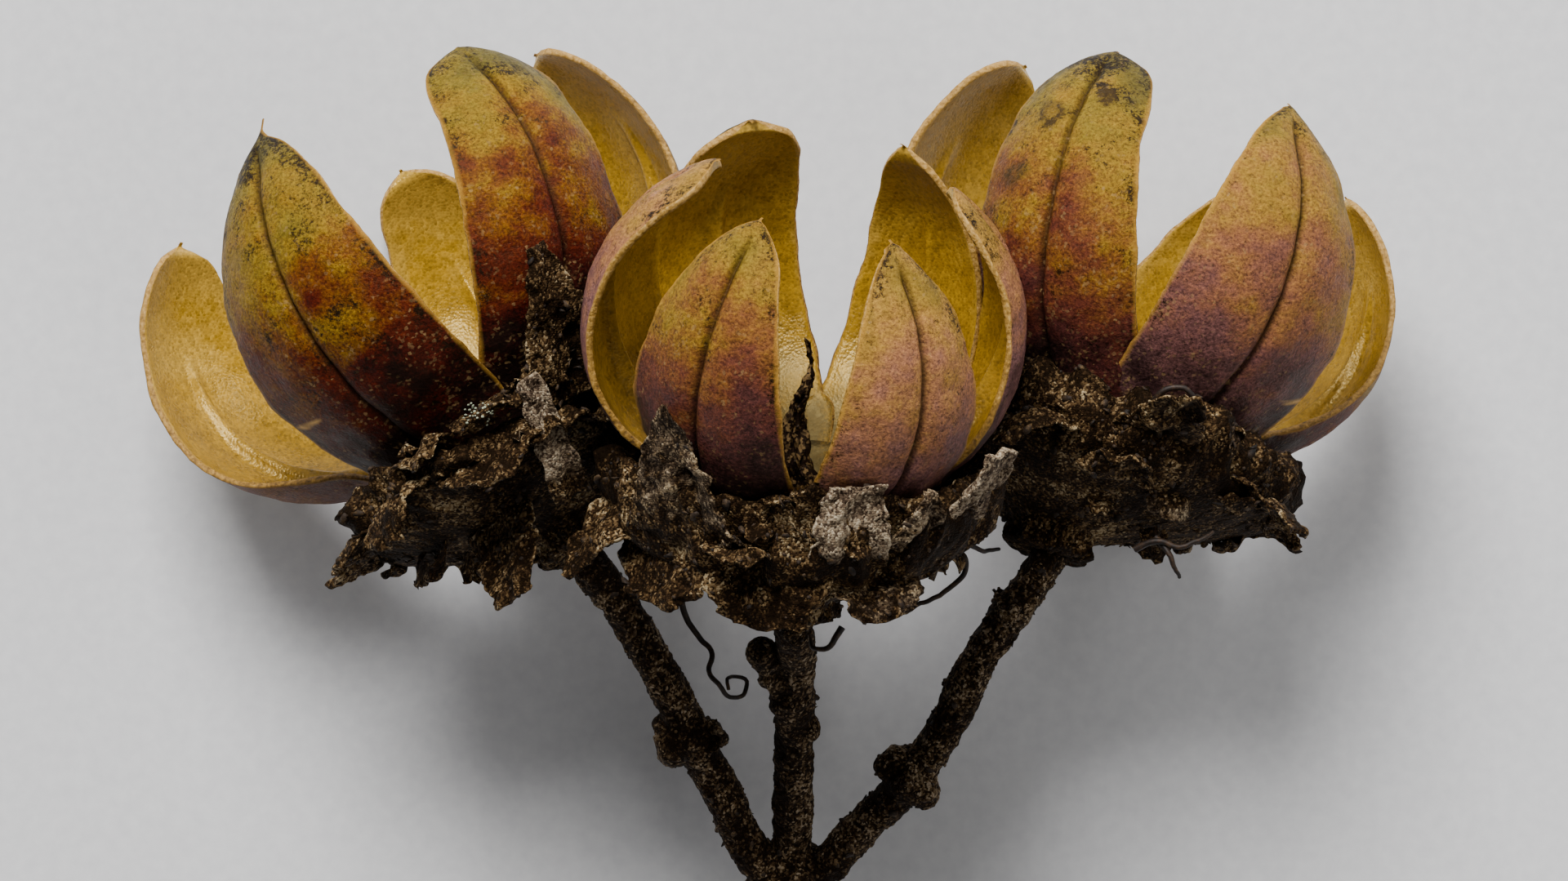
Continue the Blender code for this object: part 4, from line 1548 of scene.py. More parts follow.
    def dress(
        self, shell: Shell, finishes: Sequence[bpy.types.Material], litter: Litter
    ) -> bpy.types.Object:
        """Places the capsule's piece, with dust at its foot.

        Args:
            shell: The capsule's skin.
            finishes: Those of the outside, the lining and the split edge.
            litter: What the dust is made of.

        Returns:
            The piece.
        """
        name = "capsule_" + self.side
        mesh = shell.mesh(name)
        for finish in finishes:
            mesh.materials.append(finish)
        return place_piece(litter.strewn(mesh, self.dust), "split_" + name, (name,))


@dataclass(frozen=True)
class Lobe:
    """A dry sepal or a torn flap: a thin curled sheet that grows from the calyx's cup.

    Its angles are measured from the capsule's axis, where it leaves its foot and at its end.
    """

    azimuth: float
    length: float
    half_width: float
    first_angle: float
    last_angle: float
    papery: float = 0.0
    foot: tuple[float, float] = SEPAL_FOOT
    taper: float = 0.78
    thickness: float = 0.26
    crumple: float = 0.26
    rows: int = 46
    columns: int = 25

    def shell(self, seed: float) -> Shell:
        """Builds the lobe.

        Args:
            seed: Moves its folds and tears.

        Returns:
            Its closed skin in the capsule's own frame.
        """
        share = np.arange(self.rows + 1) / self.rows
        turn = np.radians(self.first_angle + (self.last_angle - self.first_angle) * share)
        step = self.length / self.rows
        middle = (turn[:-1] + turn[1:]) / 2
        radius = self.foot[0] + np.concatenate(((0.0,), np.cumsum(np.sin(middle) * step)))
        height = self.foot[1] + np.concatenate(((0.0,), np.cumsum(np.cos(middle) * step)))
        phase = seed + self.azimuth
        half = self.half_width * (1.0 - self.taper * share**1.6)
        across = np.linspace(-1.0, 1.0, self.columns)[None]
        folds = np.interp(across, (-1.0, -0.4, 0.35, 1.0), (0.0, 0.18, -0.05, 0.1))
        width = across * half[:, None]
        along = np.broadcast_to((share * self.length)[:, None], width.shape)
        place = np.stack((width, along, np.full(width.shape, phase)), axis=-1)
        torn = 0.30 * grain(place * np.array((0.4, 1.0, 1.0)), 0.5) + 0.10 * grain(place, 0.17)
        end = 0.26 * grain(place * np.array((1.0, 0.2, 1.0)), 0.85, 3.0) * (share**3)[:, None]
        wave = 0.22 * np.sin(4.0 * share + phase)[:, None]
        veins = ridged(place * np.array((1.0, 0.22, 1.0)), 0.55, 2.0)
        loose = self.crumple * (grain(place, 1.0) + 0.35 * ridged(place, 0.6, 1.0) + 0.22 * veins)
        out = folds + wave + loose * ease(share / 0.2)[:, None]
        thin = self.thickness * (1.0 - 0.5 * share)[:, None] * (1.0 - 0.7 * across**4)
        edge = width * (1.0 + torn * (0.3 + share[:, None]))
        edges = np.hstack((edge, edge[:, ::-1]))
        outs = np.hstack((out, (out - thin)[:, ::-1]))
        ends = np.hstack((end, end[:, ::-1]))
        cos, sin = np.cos(turn)[:, None], np.sin(turn)[:, None]
        points = turned(
            radius[:, None] + outs * cos + ends * sin,
            edges,
            height[:, None] - outs * sin + ends * cos,
            math.radians(self.azimuth),
        ).reshape(-1, 3)
        count = 2 * self.columns
        faces = ring_faces(self.rows + 1, count)
        for low in (0, len(points) - count):
            high = low + count - 1
            faces += [(low + i, low + i + 1, high - i - 1, high - i) for i in range(self.columns - 1)]
        papery = np.repeat(self.papery * ease(share / 0.35), count)
        return Shell(points, faces, [0] * len(faces), {"papery": papery})


@dataclass
class Calyx:
    """One shrivelled calyx: a crumpled cup and its torn sepals."""

    side: str
    stance: Stance
    sepals: tuple[Lobe, ...]
    rim: tuple[tuple[float, float], ...]
    flaps: int = 15
    shreds: int = 26
    flank_wear: float = 0.45
    scurf: tuple[Loose, ...] = (
        Loose(Bit.CRUMB, 2.4, 0.04, 0.11),
        Loose(Bit.FLAKE, 1.4, 0.10, 0.26, 0.8),
    )
    steps: int = 360
    line_steps: int = 7

    @property
    def seed(self) -> float:
        """The number that the solid's own folds start from."""
        return 1.0 + len(self.side)

    def cup(self) -> Shell:
        """Builds the cup, folded as its solid is, with finer pleats and a torn rim.

        Returns:
            Its closed skin in the capsule's own frame.
        """
        line = smooth_line(CUP_LINE, self.line_steps)
        around = np.arange(self.steps) * math.tau / self.steps
        cos, sin = np.cos(around)[None], np.sin(around)[None]
        radius = np.maximum(line[:, :1], 0.0)
        height = line[:, 1:] + 0.0 * cos
        points = np.stack((radius * cos, radius * sin, height), axis=-1)
        outside = (radius > 5.0) | (height < 0.5 * radius - 1.0)
        folds = np.sin(8 * around + self.seed) + 0.7 * np.sin(13 * around + 2.1 * self.seed)
        dents = grain(points + np.array((self.seed * CUP_DENT, 0.0, 0.0)), CUP_DENT)
        swell = CUP_WRINKLE * ease((radius - 1.35) / 3.0) * (0.5 * folds[None] + 1.4 * dents) * outside
        warp = 0.45 * grain(points, 2.2, self.seed)
        run = 0.22 * (radius - 0.8 * height)
        flat = np.stack((4.6 * cos + warp, 4.6 * sin + warp, run + warp), axis=-1)
        crumple = 0.24 * ridged(flat, 0.85, self.seed) + 0.26 * ridged(points, 1.5, self.seed)
        crumple = crumple + 0.10 * ridged(points, 0.6, 3.0) + 0.05 * ridged(flat, 0.28, 4.0)
        swell = swell + crumple * ease(radius / 2.5) * (0.35 + 0.65 * outside)
        ring = np.stack((3.2 * cos[0], 3.2 * sin[0], np.full(self.steps, self.seed)), axis=-1)
        torn = 0.45 * grain(ring, 1.0, 9.0) + 0.20 * ridged(ring, 0.40, 9.0)
        points[..., 0] += cos * swell
        points[..., 1] += sin * swell
        rise = np.interp(np.degrees(np.arctan2(sin, cos)), *zip(*self.rim))
        points[..., 2] += 0.5 * swell + torn[None] * ease((height - 1.5) / 1.3)
        points[..., 2] += rise * ease((height - 0.9) / 1.6)
        points[..., 1] += self.stance.neck * ease((1.2 - points[..., 2]) / 2.6)
        faces = ring_faces(len(line), self.steps)
        points = points.reshape(-1, 3)
        return Shell(points, faces, [0] * len(faces), {"papery": np.zeros(len(points))})

    def torn(self, count: int, longest: float, thickness: float, from_row: int) -> list[Lobe]:
        """Torn flaps strewn around the cup, the same at each run.

        Args:
            count: How many there are.
            longest: The longest one's length.
            thickness: Their thickness at the foot.
            from_row: The first point of the cup's line where they may grow.

        Returns:
            The flaps, evenly spread but for a small shift each.
        """
        draw = np.random.default_rng(int(self.seed * 10) + count)
        outer = smooth_line(CUP_LINE[from_row:LAST_FLAP_ROW], 4)
        flaps = []
        for number in range(count):
            foot = outer[draw.integers(len(outer))] * 0.97
            first = draw.uniform(60.0, 120.0)
            azimuth = 360.0 * number / count + draw.uniform(-9.0, 9.0)
            # Those on the flanks are worn short
            worn = 1.0 - self.flank_wear * abs(math.sin(math.radians(azimuth)))
            flaps.append(
                Lobe(
                    azimuth=azimuth,
                    length=draw.uniform(0.5, 1.0) * longest * worn,
                    half_width=draw.uniform(0.3, 0.75) * longest,
                    first_angle=first,
                    last_angle=first + draw.uniform(-45.0, 65.0),
                    papery=draw.choice((0.0, 0.0, 0.15, 0.45)),
                    foot=(float(foot[0]), float(foot[1])),
                    taper=0.5,
                    thickness=thickness,
                    crumple=0.08 + 0.09 * longest,
                    rows=18,
                    columns=11,
                )
            )
        return flaps

    def mesh(self, walls: BVHTree) -> bpy.types.Mesh:
        """Puts cup, sepals and flaps together and clears them of the valves.

        Args:
            walls: The outer faces of all the valves, in the row's frame.

        Returns:
            The calyx in the row's frame.
        """
        lobes = list(self.sepals) + self.torn(self.flaps, 1.9, 0.2, 6)
        lobes += self.torn(self.shreds, 1.2, 0.12, 5)
        cup = self.cup()
        parts = [cup] + [lobe.shell(self.seed + number) for number, lobe in enumerate(lobes)]
        whole = joined(parts)
        papery, quads = whole.values["papery"], np.array(whole.faces)
        points = pushed_clear(self.stance.placed(whole.points), walls)
        normals = point_normals(points, quads)
        fine = 0.035 * ridged(points, 0.38, self.seed) + 0.02 * grain(points, 0.16, self.seed)
        fine[len(cup.points) :] *= 0.4
        points = points + normals * fine[:, None]
        points[:, 2] = np.maximum(points[:, 2], 0.02)
        crumbly = np.clip(0.45 + 1.2 * grain(points, 1.6, 8.0), 0.0, 1.0) * (1.0 - 0.8 * papery)
        values = {"papery": papery, "proud": relief(points, quads, 14), "crumbly": crumbly}
        return Shell(points, whole.faces, whole.slots, values).mesh("calyx_" + self.side)

    def dress(
        self, mesh: bpy.types.Mesh, finish: bpy.types.Material, litter: Litter
    ) -> bpy.types.Object:
        """Places the calyx's piece, with crumbs and flakes all over it.

        Args:
            mesh: The calyx.
            finish: Its material.
            litter: What the crumbs and flakes are made of.

        Returns:
            The piece.
        """
        name = "calyx_" + self.side
        mesh.materials.append(finish)
        return place_piece(litter.strewn(mesh, self.scurf), "shrivelled_" + name, (name,))


def pushed_clear(points: np.ndarray, walls: BVHTree) -> np.ndarray:
    """Moves what would cross a valve to lie against its outer face.

    Args:
        points: Points of a skin.
        walls: Outer faces of the valves.

    Returns:
        The points, each in its old order outwards from the wall.
    """
    moved = points.copy()
    for number, point in enumerate(points.tolist()):
        hit, normal, _, _ = walls.find_nearest(point, 2.5)
        if hit is None:
            continue
        gap = Vector(point) - hit
        depth = gap.dot(normal)
        aside = (gap - normal * depth).length
        if depth >= CROWDING or aside > 0.25 + 0.5 * max(depth, 0.0):
            continue
        room = CROWDING - CLEARANCE
        kept = CLEARANCE + room * math.exp((depth - CROWDING) / room)
        moved[number] = hit + normal * kept
    return moved


@dataclass
class Stem:
    """The cut stem: a peduncle, three stalks, swollen nodes, a dead twig, a bud scale, a bract."""

    pedicel_radius: float = 0.62
    peduncle_radius: float = 0.98
    twig_radius: float = 0.27
    fork: tuple[float, float, float] = (0.2, -15.0, 5.6)
    trunk: tuple[tuple[float, float, float], ...] = (
        (0.6, -22.6, 0.98),
        (0.5, -20.0, 2.2),
        (0.3, -17.4, 3.9),
    )
    routes: dict[str, tuple[tuple[float, float, float], ...]] = field(
        default_factory=lambda: {
            "left": (
                (-1.0, -14.1, 6.3),
                (-1.9, -12.3, 7.2),
                (-3.0, -10.0, 8.4),
                (-4.4, -7.2, 9.7),
                (-5.8, -5.1, 10.5),
            ),
            "middle": ((0.3, -13.8, 6.4), (0.3, -11.4, 8.2), (0.35, -9.2, 10.0), (0.4, -7.3, 11.8)),
            "right": (
                (1.3, -14.4, 6.0),
                (2.7, -13.0, 6.6),
                (4.4, -11.2, 7.5),
                (5.6, -9.2, 8.3),
                (6.7, -7.0, 9.0),
            ),
        }
    )
    knots: tuple[tuple[float, float, float, float], ...] = (
        (-3.2, -10.1, 8.3, 1.00),
        (-2.75, -10.0, 8.5, 0.55),
        (-3.75, -9.6, 8.3, 0.55),
        (4.3, -11.3, 7.5, 1.02),
        (3.7, -10.9, 7.8, 0.60),
        (4.9, -10.5, 7.7, 0.50),
        (0.2, -14.9, 5.6, 1.30),
        (-0.5, -15.6, 5.2, 0.60),
        (0.1, -8.5, 10.7, 0.62),
        (0.7, -9.6, 9.8, 0.40),
        (1.6, -14.2, 6.2, 0.60),
    )
    twig: tuple[tuple[float, float, float], ...] = (
        (0.2, -8.8, 10.4),
        (-0.3, -8.0, 11.4),
        (-0.75, -7.0, 12.3),
    )
    twig_knots: tuple[tuple[float, float, float, float], ...] = (
        (-0.75, -7.0, 12.3, 0.46),
        (-0.45, -7.3, 12.1, 0.34),
        (-0.5, -7.9, 11.7, 0.34),
    )
    scurf: tuple[Loose, ...] = (
        Loose(Bit.CRUMB, 3.5, 0.03, 0.09),
        Loose(Bit.FLAKE, 1.6, 0.08, 0.2, 0.8),
    )

    def knot(self, x: float, y: float, z: float, radius: float) -> Shell:
        """Builds a lumpy swelling.

        Args:
            x: Its middle's place across the sprig.
            y: Its place along it.
            z: Its height.
            radius: Its radius.

        Returns:
            Its closed skin in the row's frame.
        """
        middle = np.array((x, y, z))
        centre = middle - CENTRE
        shape = bmesh.new()
        bmesh.ops.create_icosphere(shape, subdivisions=4, radius=radius)
        points = np.array([vert.co[:] for vert in shape.verts]) + middle - CENTRE
        faces = [tuple(vert.index for vert in face.verts) for face in shape.faces]
        shape.free()
        points = centre + (points - centre) * (1.0 + 0.35 * grain(points, 0.7, 5.0))[:, None]
        return Shell(points, faces, [0] * len(faces))

    def tube(self, tree: bpy.types.NodeTree, route: np.ndarray, root: float, tip: float) -> Shell:
        """Grows a stalk.

        Args:
            tree: The tube tree.
            route: The points that it follows.
            root: Its radius where it starts.
            tip: Its radius where it ends.

        Returns:
            Its closed skin in the row's frame.
        """
        settings = {
            "Root Radius": root,
            "Tip Radius": tip,
            "Step": 0.25,
            "Crinkle": 0.25,
            "Crinkle Size": 2.0,
            "Sides": 28,
            "Seed": 3,
        }
        mesh = grown(lines_mesh([route - CENTRE]), tree, settings)
        faces = [tuple(face.vertices) for face in mesh.polygons]
        return Shell(read_points(mesh), faces, [0] * len(faces))

    def bract(self, place: Stance, lobe: Lobe) -> Shell:
        """Sets a small dry leaf on the stem.

        Args:
            place: How it stands.
            lobe: Its shape.

        Returns:
            Its closed skin in the row's frame.
        """
        shell = lobe.shell(2.0)
        shell.points = place.placed(shell.points)
        return shell

    def mesh(self, tubes: bpy.types.NodeTree, stances: dict[str, Stance]) -> bpy.types.Mesh:
        """Melts the stem's parts together and cracks their bark.

        Args:
            tubes: The tube tree.
            stances: How each capsule stands, which gives where its stalk ends.

        Returns:
            The stem in the row's frame.
        """
        trunk = smooth_line(self.trunk + (self.fork,), 6)
        parts = [self.tube(tubes, trunk, self.peduncle_radius, self.peduncle_radius)]
        for side, route in self.routes.items():
            stance = stances[side]
            heights = ((0.0, stance.neck, -2.5), (0.0, stance.neck, -1.0))
            top = stance.placed(np.array(heights)) + CENTRE
            line = smooth_line((self.fork,) + route + tuple(top.tolist()), 6)
            parts.append(self.tube(tubes, line, self.pedicel_radius, self.pedicel_radius))
        twig = smooth_line(self.twig, 6)
        parts.append(self.tube(tubes, twig, self.twig_radius, self.twig_radius * 1.5))
        parts += [self.knot(*knot) for knot in self.knots + self.twig_knots]
        bud = Lobe(0.0, 1.3, 0.6, 60, 10, foot=(0.2, 0.0), taper=0.5, rows=16, columns=11)
        parts.append(self.bract(Stance((-2.5, -9.9, 8.5), 80.0, 25.0, 0.0), bud))
        leaf = Lobe(0.0, 2.4, 0.55, 100, 60, foot=(0.1, 0.0), rows=20, columns=11)
        parts.append(self.bract(Stance((7.6, -5.2, 8.9), 190.0, -15.0, 0.0), leaf))
        points, quads = melted(joined(parts), STEM_VOXEL)
        normals = point_normals(points, quads)
        lengthwise = points * np.array((1.0, 0.38, 0.6))
        cracks = 0.05 * ridged(lengthwise, 0.5, 1.0) + 0.09 * grain(points, 1.1, 2.0)
        cracks = cracks + 0.04 * ridged(points, 0.26, 3.0) + 0.03 * grain(points, 0.13, 4.0)
        points = points + normals * cracks[:, None]
        points[:, 2] = np.maximum(points[:, 2], 0.0)
        # The flat face of the cut takes the wood's finish
        end = np.array(self.trunk[0]) - CENTRE
        line = np.array(self.trunk[0]) - np.array(self.trunk[1])
        line /= np.linalg.norm(line)
        depth = (points - end) @ line
        ring = np.linalg.norm(points - end - depth[:, None] * line, axis=1) / self.peduncle_radius
        flat = (depth > -0.35) & (normals @ line > 0.55)
        slots = flat[quads].all(axis=1).astype(int).tolist()
        crumbly = np.clip(0.5 + grain(points, 1.2, 7.0), 0.0, 1.0) * (1.0 - flat)
        values = {"proud": relief(points, quads, 10), "crumbly": crumbly, "ring": ring}
        return Shell(points, quads.tolist(), slots, values).mesh("stem")

    def dress(
        self, mesh: bpy.types.Mesh, finishes: Sequence[bpy.types.Material], litter: Litter
    ) -> bpy.types.Object:
        """Places the stem's piece, with crumbs and flakes on its bark.

        Args:
            mesh: The stem.
            finishes: Those of the bark and the cut wood.
            litter: What the crumbs and flakes are made of.

        Returns:
            The piece.
        """
        for finish in finishes:
            mesh.materials.append(finish)
        return place_piece(litter.strewn(mesh, self.scurf), "bark_stem", ("stem",))


@dataclass
class Threads:
    """Dried stamen stalks that still hang on a calyx."""

    side: str
    routes: tuple[tuple[tuple[float, float, float], ...], ...]
    root_radius: float = 0.12
    tip_radius: float = 0.06

    def dress(self, tree: bpy.types.NodeTree, finish: bpy.types.Material) -> bpy.types.Object:
        """Grows the threads along their routes.

        Args:
            tree: The tube tree.
            finish: Their material.

        Returns:
            Their piece.
        """
        lines = [smooth_line(route, 6) - CENTRE for route in self.routes]
        settings = {
            "Root Radius": self.root_radius,
            "Tip Radius": self.tip_radius,
            "Step": 0.12,
            "Crinkle": 0.35,
            "Crinkle Size": 0.5,
            "Sides": 8,
            "Seed": 5,
            "Finish": finish,
        }
        mesh = grown(lines_mesh(lines), tree, settings)
        return place_piece(mesh, "stamen_threads_" + self.side)


@dataclass
class Granules:
    """A cluster of minute pale granules at a valve's foot."""

    middle: tuple[float, float] = (-9.99, 0.87)
    half_size: tuple[float, float] = (0.52, 0.44)
    count: int = 46
    radius: float = 0.05

    def dress(self, below: Sequence[BVHTree], finish: bpy.types.Material) -> bpy.types.Object:
        """Lays the granules on whatever lies below them, the same at each run.

        Args:
            below: The skins that they may lie on.
            finish: Their material.

        Returns:
            Their piece.
        """
        draw = np.random.default_rng(7)
        bead = bit_mesh((self.radius, self.radius * 0.8, self.radius * 0.7), 0.0, 0.1)
        ball = read_points(bead)
        faces = [tuple(face.vertices) for face in bead.polygons]
        parts = []
        for _ in range(self.count):
            turn, far = draw.uniform(0.0, math.tau), math.sqrt(draw.uniform(0.0, 1.0))
            x = self.middle[0] + self.half_size[0] * far * math.cos(turn) - CENTRE[0]
            y = self.middle[1] + self.half_size[1] * far * math.sin(turn) - CENTRE[1]
            hits = [skin.ray_cast(Vector((x, y, 40.0)), Vector((0.0, 0.0, -1.0)))[0] for skin in below]
            top = max((hit for hit in hits if hit), key=lambda hit: hit.z)
            parts.append(Shell(ball * draw.uniform(0.6, 1.3) + np.array(top), faces, [0] * len(faces)))
        mesh = joined(parts).mesh("granules")
        mesh.materials.append(finish)
        return place_piece(mesh, "pale_granules")


@dataclass
class Studio:
    """Pale card, soft lights, and a camera that looks straight down on the sprig, in metres."""

    card: float = 3.0
    card_height: float = -0.00003
    camera_place: tuple[float, float, float] = (0.00051, 0.00493, 0.299)
    focal_length: float = 199.0
    glow: float = 0.13

    def build(self, finish: bpy.types.Material) -> None:
        """Makes the card, the lights, the surroundings and the camera.

        Args:
            finish: The card's material.
        """
        shape = bmesh.new()
        bmesh.ops.create_grid(shape, x_segments=1, y_segments=1, size=self.card / 2)
        bmesh.ops.translate(shape, verts=shape.verts[:], vec=(0.0, 0.0, self.card_height))
        mesh = bpy.data.meshes.new("card")
        shape.to_mesh(mesh)
        shape.free()
        mesh.materials.append(finish)
        card = bpy.data.objects.new("card", mesh)
        bpy.context.scene.collection.objects.link(card)
        self.lamp("key", (-0.08, 0.28, 0.30), 0.20, 3.6)
        self.lamp("fill", (0.30, -0.16, 0.34), 0.40, 0.7)
        self.lamp("rim", (0.24, 0.30, 0.12), 0.16, 0.7)
        world = bpy.data.worlds.new("studio")
        bpy.context.scene.world = world
        world.use_nodes = True
        background = world.node_tree.nodes["Background"]
        background.inputs["Color"].default_value = linear("#d6d8dc")
        background.inputs["Strength"].default_value = self.glow
        lens = bpy.data.cameras.new("camera")
        lens.lens = self.focal_length
        lens.clip_start = 0.01
        camera = bpy.data.objects.new("camera", lens)
        camera.location = self.camera_place
        bpy.context.scene.collection.objects.link(camera)
        bpy.context.scene.camera = camera

    def lamp(self, name: str, place: tuple[float, float, float], size: float, watts: float) -> None:
        """Makes a square soft light that faces the sprig.

        Args:
            name: Its name.
            place: Where it stands.
            size: Its side.
            watts: Its strength.
        """
        light = bpy.data.lights.new(name, "AREA")
        light.size = size
        light.energy = watts
        lamp = bpy.data.objects.new(name, light)
        lamp.location = place
        lamp.rotation_euler = (-Vector(place)).to_track_quat("-Z", "Y").to_euler()
        bpy.context.scene.collection.objects.link(lamp)


STANCES = {
    "left": Stance((-7.8, -2.2, 10.2), -28.0, -12.0, 0.3),
    "middle": Stance((0.4, -3.9, 14.2), 3.0, 18.0, 0.0),
    "right": Stance((10.3, -2.3, 9.1), 16.0, -12.0, -1.1),
}

VALVES = {
    "left": (
        Valve(-118, 54, 1.2, 1.2, twist=14, curl=22, mauve=0.3, stain=-0.1, blunt=0.45, beak=0.3),
        Valve(
            -34, 31, 1.1, 1.44, lean=4, stain=0.03, mouldy=0.25, blunt=0.1, beak=0.9, hook=-10,
            scratch=(-1.9, 0.40, -3.4, 0.385),
        ),
        Valve(35, 34, 1.08, 1.2, 2, mouldy=0.12, stain=0.05, blunt=0.6, skew=0.6, beak=0.15),
        Valve(110, 36, 1.12, 1.12, twist=-10, mauve=0.2, blunt=0.5, beak=0.15),
        Valve(174, 33, 1.08, 1.1, blunt=0.4, beak=0.2),
    ),
    "middle": (
        Valve(-103, 31, 1.08, 1.3, 7, 5, 22, mauve=1.0, stain=0.22, mouldy=0.05, blunt=0.5, beak=0.3),
        Valve(-34, 27, 0.97, 1.14, 6, mauve=0.25, stain=0.18, blunt=0.15, beak=0.25),
        Valve(34, 26, 0.90, 1.06, 1, mauve=1.0, stain=0.05, beak=0.3),
        Valve(103, 34, 0.97, 1.14, 0, 5, 12, mauve=1.0, stain=0.25, blunt=0.4, beak=0.15),
        Valve(147, 30, 0.98, 1.0, mauve=0.5, blunt=0.15, beak=0.4),
        Valve(-156, 30, 1.02, 1.14, lean=3, mauve=0.4, blunt=0.6, skew=-0.5, beak=0.5, hook=60),
    ),
    "right": (
        Valve(-114, 38, 1.14, 1.2, twist=14, curl=6, mauve=0.3, blunt=0.5, beak=0.15),
        Valve(
            -32, 32, 1.07, 1.18, mauve=0.15, mouldy=0.25, blunt=0.6, skew=-0.4, beak=0.2,
            bruises=((-0.7, 0.80, 0.40), (-1.5, 0.66, 0.32), (0.9, 0.86, 0.25)),
        ),
        Valve(
            31, 32, 1.05, 1.38, -3, mauve=0.6, stain=0.06, mouldy=0.05, beak=0.3,
            scratch=(2.3, 0.34, 3.5, 0.335),
        ),
        Valve(108, 40, 1.02, 1.12, twist=-8, curl=12, mauve=0.1, blunt=0.3, beak=0.15),
        Valve(176, 29, 1.02, 1.1, lean=-11, blunt=0.2, beak=0.2),
    ),
}

SEPALS = {
    "left": (
        Lobe(-100, 2.6, 2.1, 82, 112),
        Lobe(-74, 2.2, 2.1, 92, 135),
        Lobe(-48, 2.2, 2.2, 105, 150, papery=0.25),
        Lobe(-8, 2.6, 2.2, 115, 155),
        Lobe(26, 5.6, 1.5, 50, 18, papery=0.1),
        Lobe(12, 4.6, 0.62, 62, 6, papery=0.75, foot=(4.3, -1.0), taper=0.35, crumple=0.15),
        Lobe(-30, 3.2, 1.4, 138, 172, foot=(3.2, -0.2), taper=0.4),
        Lobe(142, 3.0, 1.6, 92, 130, papery=0.3),
        Lobe(-155, 3.0, 1.6, 95, 140),
    ),
    "middle": (
        Lobe(-78, 3.2, 2.0, 105, 150, papery=0.2),
        Lobe(-38, 5.6, 2.3, 32, 6, papery=0.45, taper=0.95),
        Lobe(-8, 2.4, 1.5, 22, 30),
        Lobe(16, 3.1, 1.4, 40, 4, papery=0.9, taper=0.35),
        Lobe(38, 3.0, 1.1, 40, 12, papery=0.5),
        Lobe(56, 4.4, 0.9, 38, 24, papery=1.0, taper=0.1, thickness=0.45),
        Lobe(-52, 2.0, 2.4, 120, 160, papery=0.1, foot=(5.0, 1.1), taper=0.5),
        Lobe(-10, 1.9, 2.2, 125, 165, papery=0.2, foot=(5.0, 1.1), taper=0.5),
        Lobe(30, 1.6, 1.8, 125, 160, papery=0.4, foot=(5.0, 1.1), taper=0.5),
        Lobe(178, 3.0, 1.8, 90, 130),
    ),
    "right": (
        Lobe(-30, 3.0, 1.8, 100, 160),
        Lobe(12, 3.8, 1.5, 62, 95, papery=0.1),
        Lobe(62, 2.6, 2.0, 105, 150, papery=0.3),
        Lobe(105, 2.2, 1.8, 100, 130),
        Lobe(160, 3.0, 1.7, 95, 140),
    ),
}

# How far each calyx's rim stands above its solid's, by azimuth, and below it where negative
RIMS = {
    "left": (
        (-180, 0), (-80, 0), (-50, -0.3), (-20, -1.0), (10, -1.8), (50, -1.9), (90, -0.4), (180, 0),
    ),
    "middle": ((-180, 0), (-90, 0.3), (-40, 0.9), (0, 1.1), (40, 1.0), (90, 0.3), (180, 0)),
    "right": ((-180, 0), (180, 0)),
}

# How far a dry wisp of each seed column stands above its stump
WISPS = {"left": 0.6, "middle": 3.6, "right": 1.0}

THREADS = {
    "left": (
        (
            (-3.3, -4.6, 11.0), (-3.4, -5.4, 10.6), (-3.2, -6.0, 10.3), (-2.8, -6.6, 10.2),
            (-2.4, -7.1, 10.3), (-2.5, -7.7, 10.5), (-2.2, -8.1, 10.7), (-1.8, -8.5, 10.6),
            (-1.35, -8.45, 10.4), (-1.25, -8.05, 10.3), (-1.55, -7.8, 10.5), (-1.9, -7.95, 10.8),
            (-1.9, -8.3, 11.0),
        ),
    ),
    "middle": (
        (
            (4.5, -3.6, 13.4), (4.95, -3.75, 13.3), (5.45, -3.65, 13.2), (5.9, -3.8, 13.1),
            (6.0, -4.2, 13.0), (5.75, -4.65, 12.9), (5.1, -5.15, 12.8), (4.1, -5.5, 12.7),
            (3.4, -5.5, 12.6), (2.6, -5.65, 12.6),
        ),
        ((5.7, -2.3, 13.0), (5.9, -2.9, 13.2), (6.15, -3.4, 12.9), (6.6, -3.65, 12.4), (7.1, -3.6, 11.6)),
        ((1.9, -6.1, 16.0), (1.5, -6.7, 16.1), (1.0, -6.8, 15.9), (0.8, -6.4, 15.6)),
    ),
    "right": (
        ((11.6, -3.6, 12.4), (12.3, -3.3, 12.7), (13.0, -3.5, 12.8), (13.7, -3.3, 12.8), (14.2, -3.0, 12.6)),
        ((12.3, -3.2, 12.4), (12.7, -3.7, 12.7), (12.9, -4.2, 12.6), (13.1, -4.5, 12.2)),
        (
            (12.0, 1.0, 14.4), (12.4, 1.6, 14.8), (13.1, 1.7, 14.9), (13.6, 1.2, 14.8),
            (13.5, 0.6, 14.7), (13.0, 0.5, 14.6), (12.9, 1.0, 14.6),
        ),
    ),
}


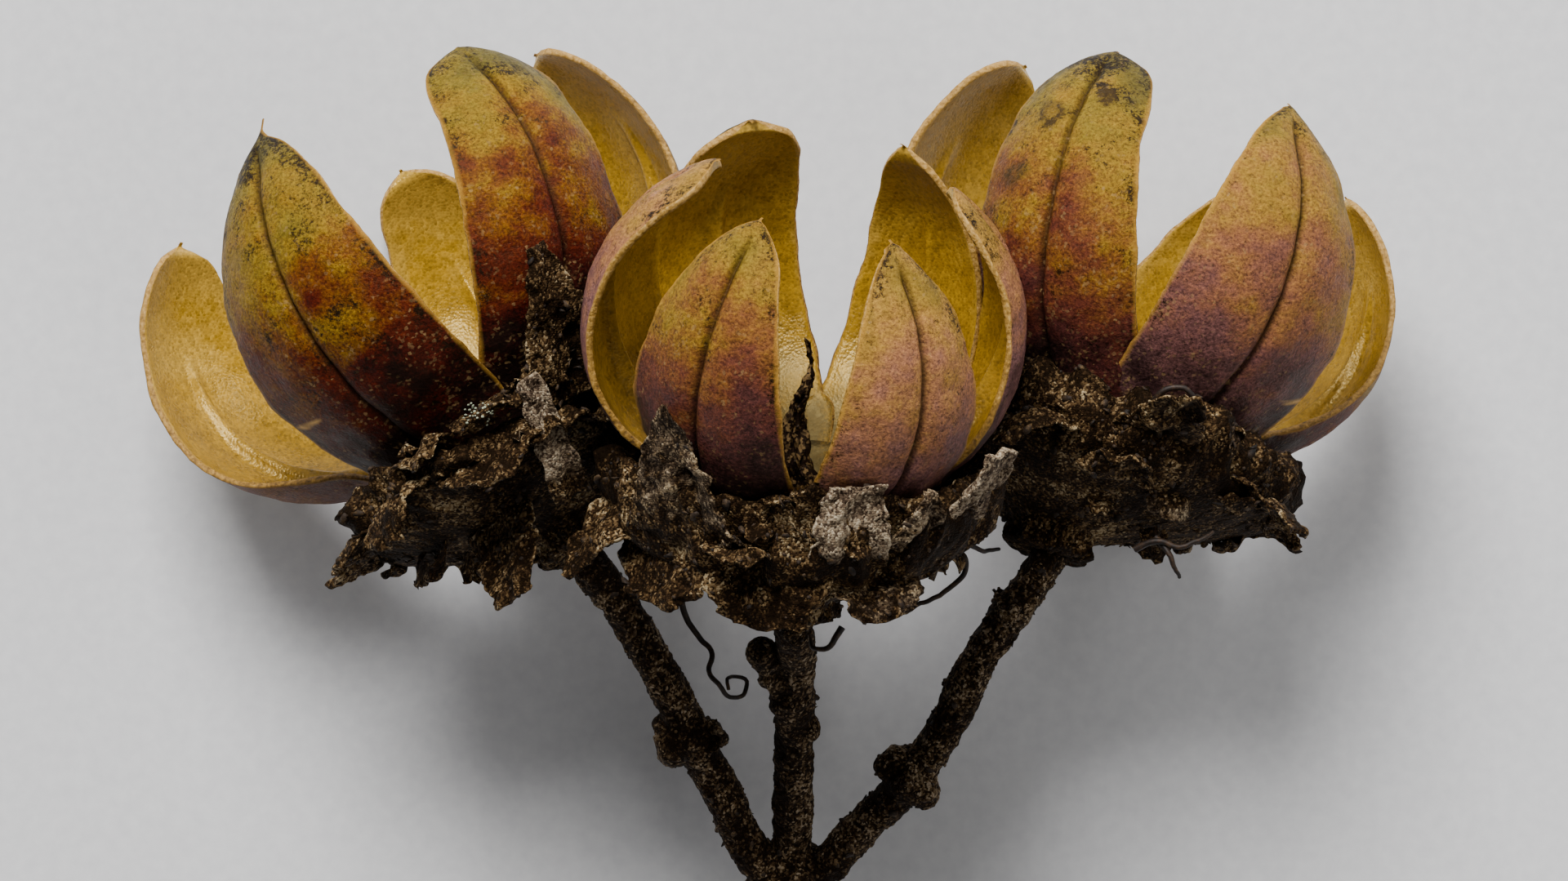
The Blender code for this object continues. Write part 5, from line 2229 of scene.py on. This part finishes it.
def valve_walls(shells: Iterable[Shell]) -> BVHTree:
    """Finds the outer faces of the valves, for keeping the calyces clear of them.

    Args:
        shells: The capsules' skins.

    Returns:
        A search tree of their outer faces.
    """
    whole = joined(shells)
    outer = [face for face, slot in zip(whole.faces, whole.slots) if slot == Face.OUTSIDE.value]
    outer = [face for face in outer if len(face) <= 4]
    return BVHTree.FromPolygons(whole.points.tolist(), outer)


def outward(shells: Iterable[Shell]) -> list[Shell]:
    """Turns the shells' faces as their finished meshes have them.

    Args:
        shells: The shells.

    Returns:
        The same shells with their faces pointing out.
    """
    turned_out = []
    for shell in shells:
        mesh = shell.mesh("check")
        faces = [tuple(face.vertices) for face in mesh.polygons]
        slots = [face.material_index for face in mesh.polygons]
        turned_out.append(Shell(read_points(mesh), faces, slots))
        bpy.data.meshes.remove(mesh)
    return turned_out


def main() -> None:
    """Builds the sprig piece by piece, then the studio."""
    logging.basicConfig(level=logging.INFO, format="%(name)s: %(message)s")
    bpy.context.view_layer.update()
    bits = {
        Bit.CRUMB: helper("crumb", bit_mesh((1.0, 0.8, 0.7), 0.0, 0.5)),
        Bit.FLAKE: helper("flake", bit_mesh((1.0, 0.62, 0.16), 0.35, 0.4)),
    }
    litter = Litter(ScatterTree().group(), Crumbs().material(), bits)
    capsules = [Capsule(side, STANCES[side], VALVES[side], WISPS[side]) for side in STANCES]
    shells = [capsule.shell() for capsule in capsules]
    finishes = (CapsuleWall().material(), CapsuleLining().material(), SplitEdge().material())
    for capsule, shell in zip(capsules, shells):
        capsule.dress(shell, finishes, litter)
    walls = valve_walls(outward(shells))
    skins = [walls]
    tissue = Scurfy().material()
    for side, stance in STANCES.items():
        calyx = Calyx(side, stance, SEPALS[side], RIMS[side])
        mesh = calyx.mesh(walls)
        faces = [tuple(face.vertices) for face in mesh.polygons]
        skins.append(BVHTree.FromPolygons([vert.co for vert in mesh.vertices], faces))
        calyx.dress(mesh, tissue, litter)
    tubes = TubeTree().group()
    stem = Stem()
    stem.dress(stem.mesh(tubes, STANCES), (Bark().material(), CutWood().material()), litter)
    thread = ThreadSkin().material()
    for side, routes in THREADS.items():
        Threads(side, routes).dress(tubes, thread)
    Granules().dress(skins, PaleGranules().material())
    litter.clear()
    Studio().build(StudioBoard().material())


if __name__ == "__main__":
    main()
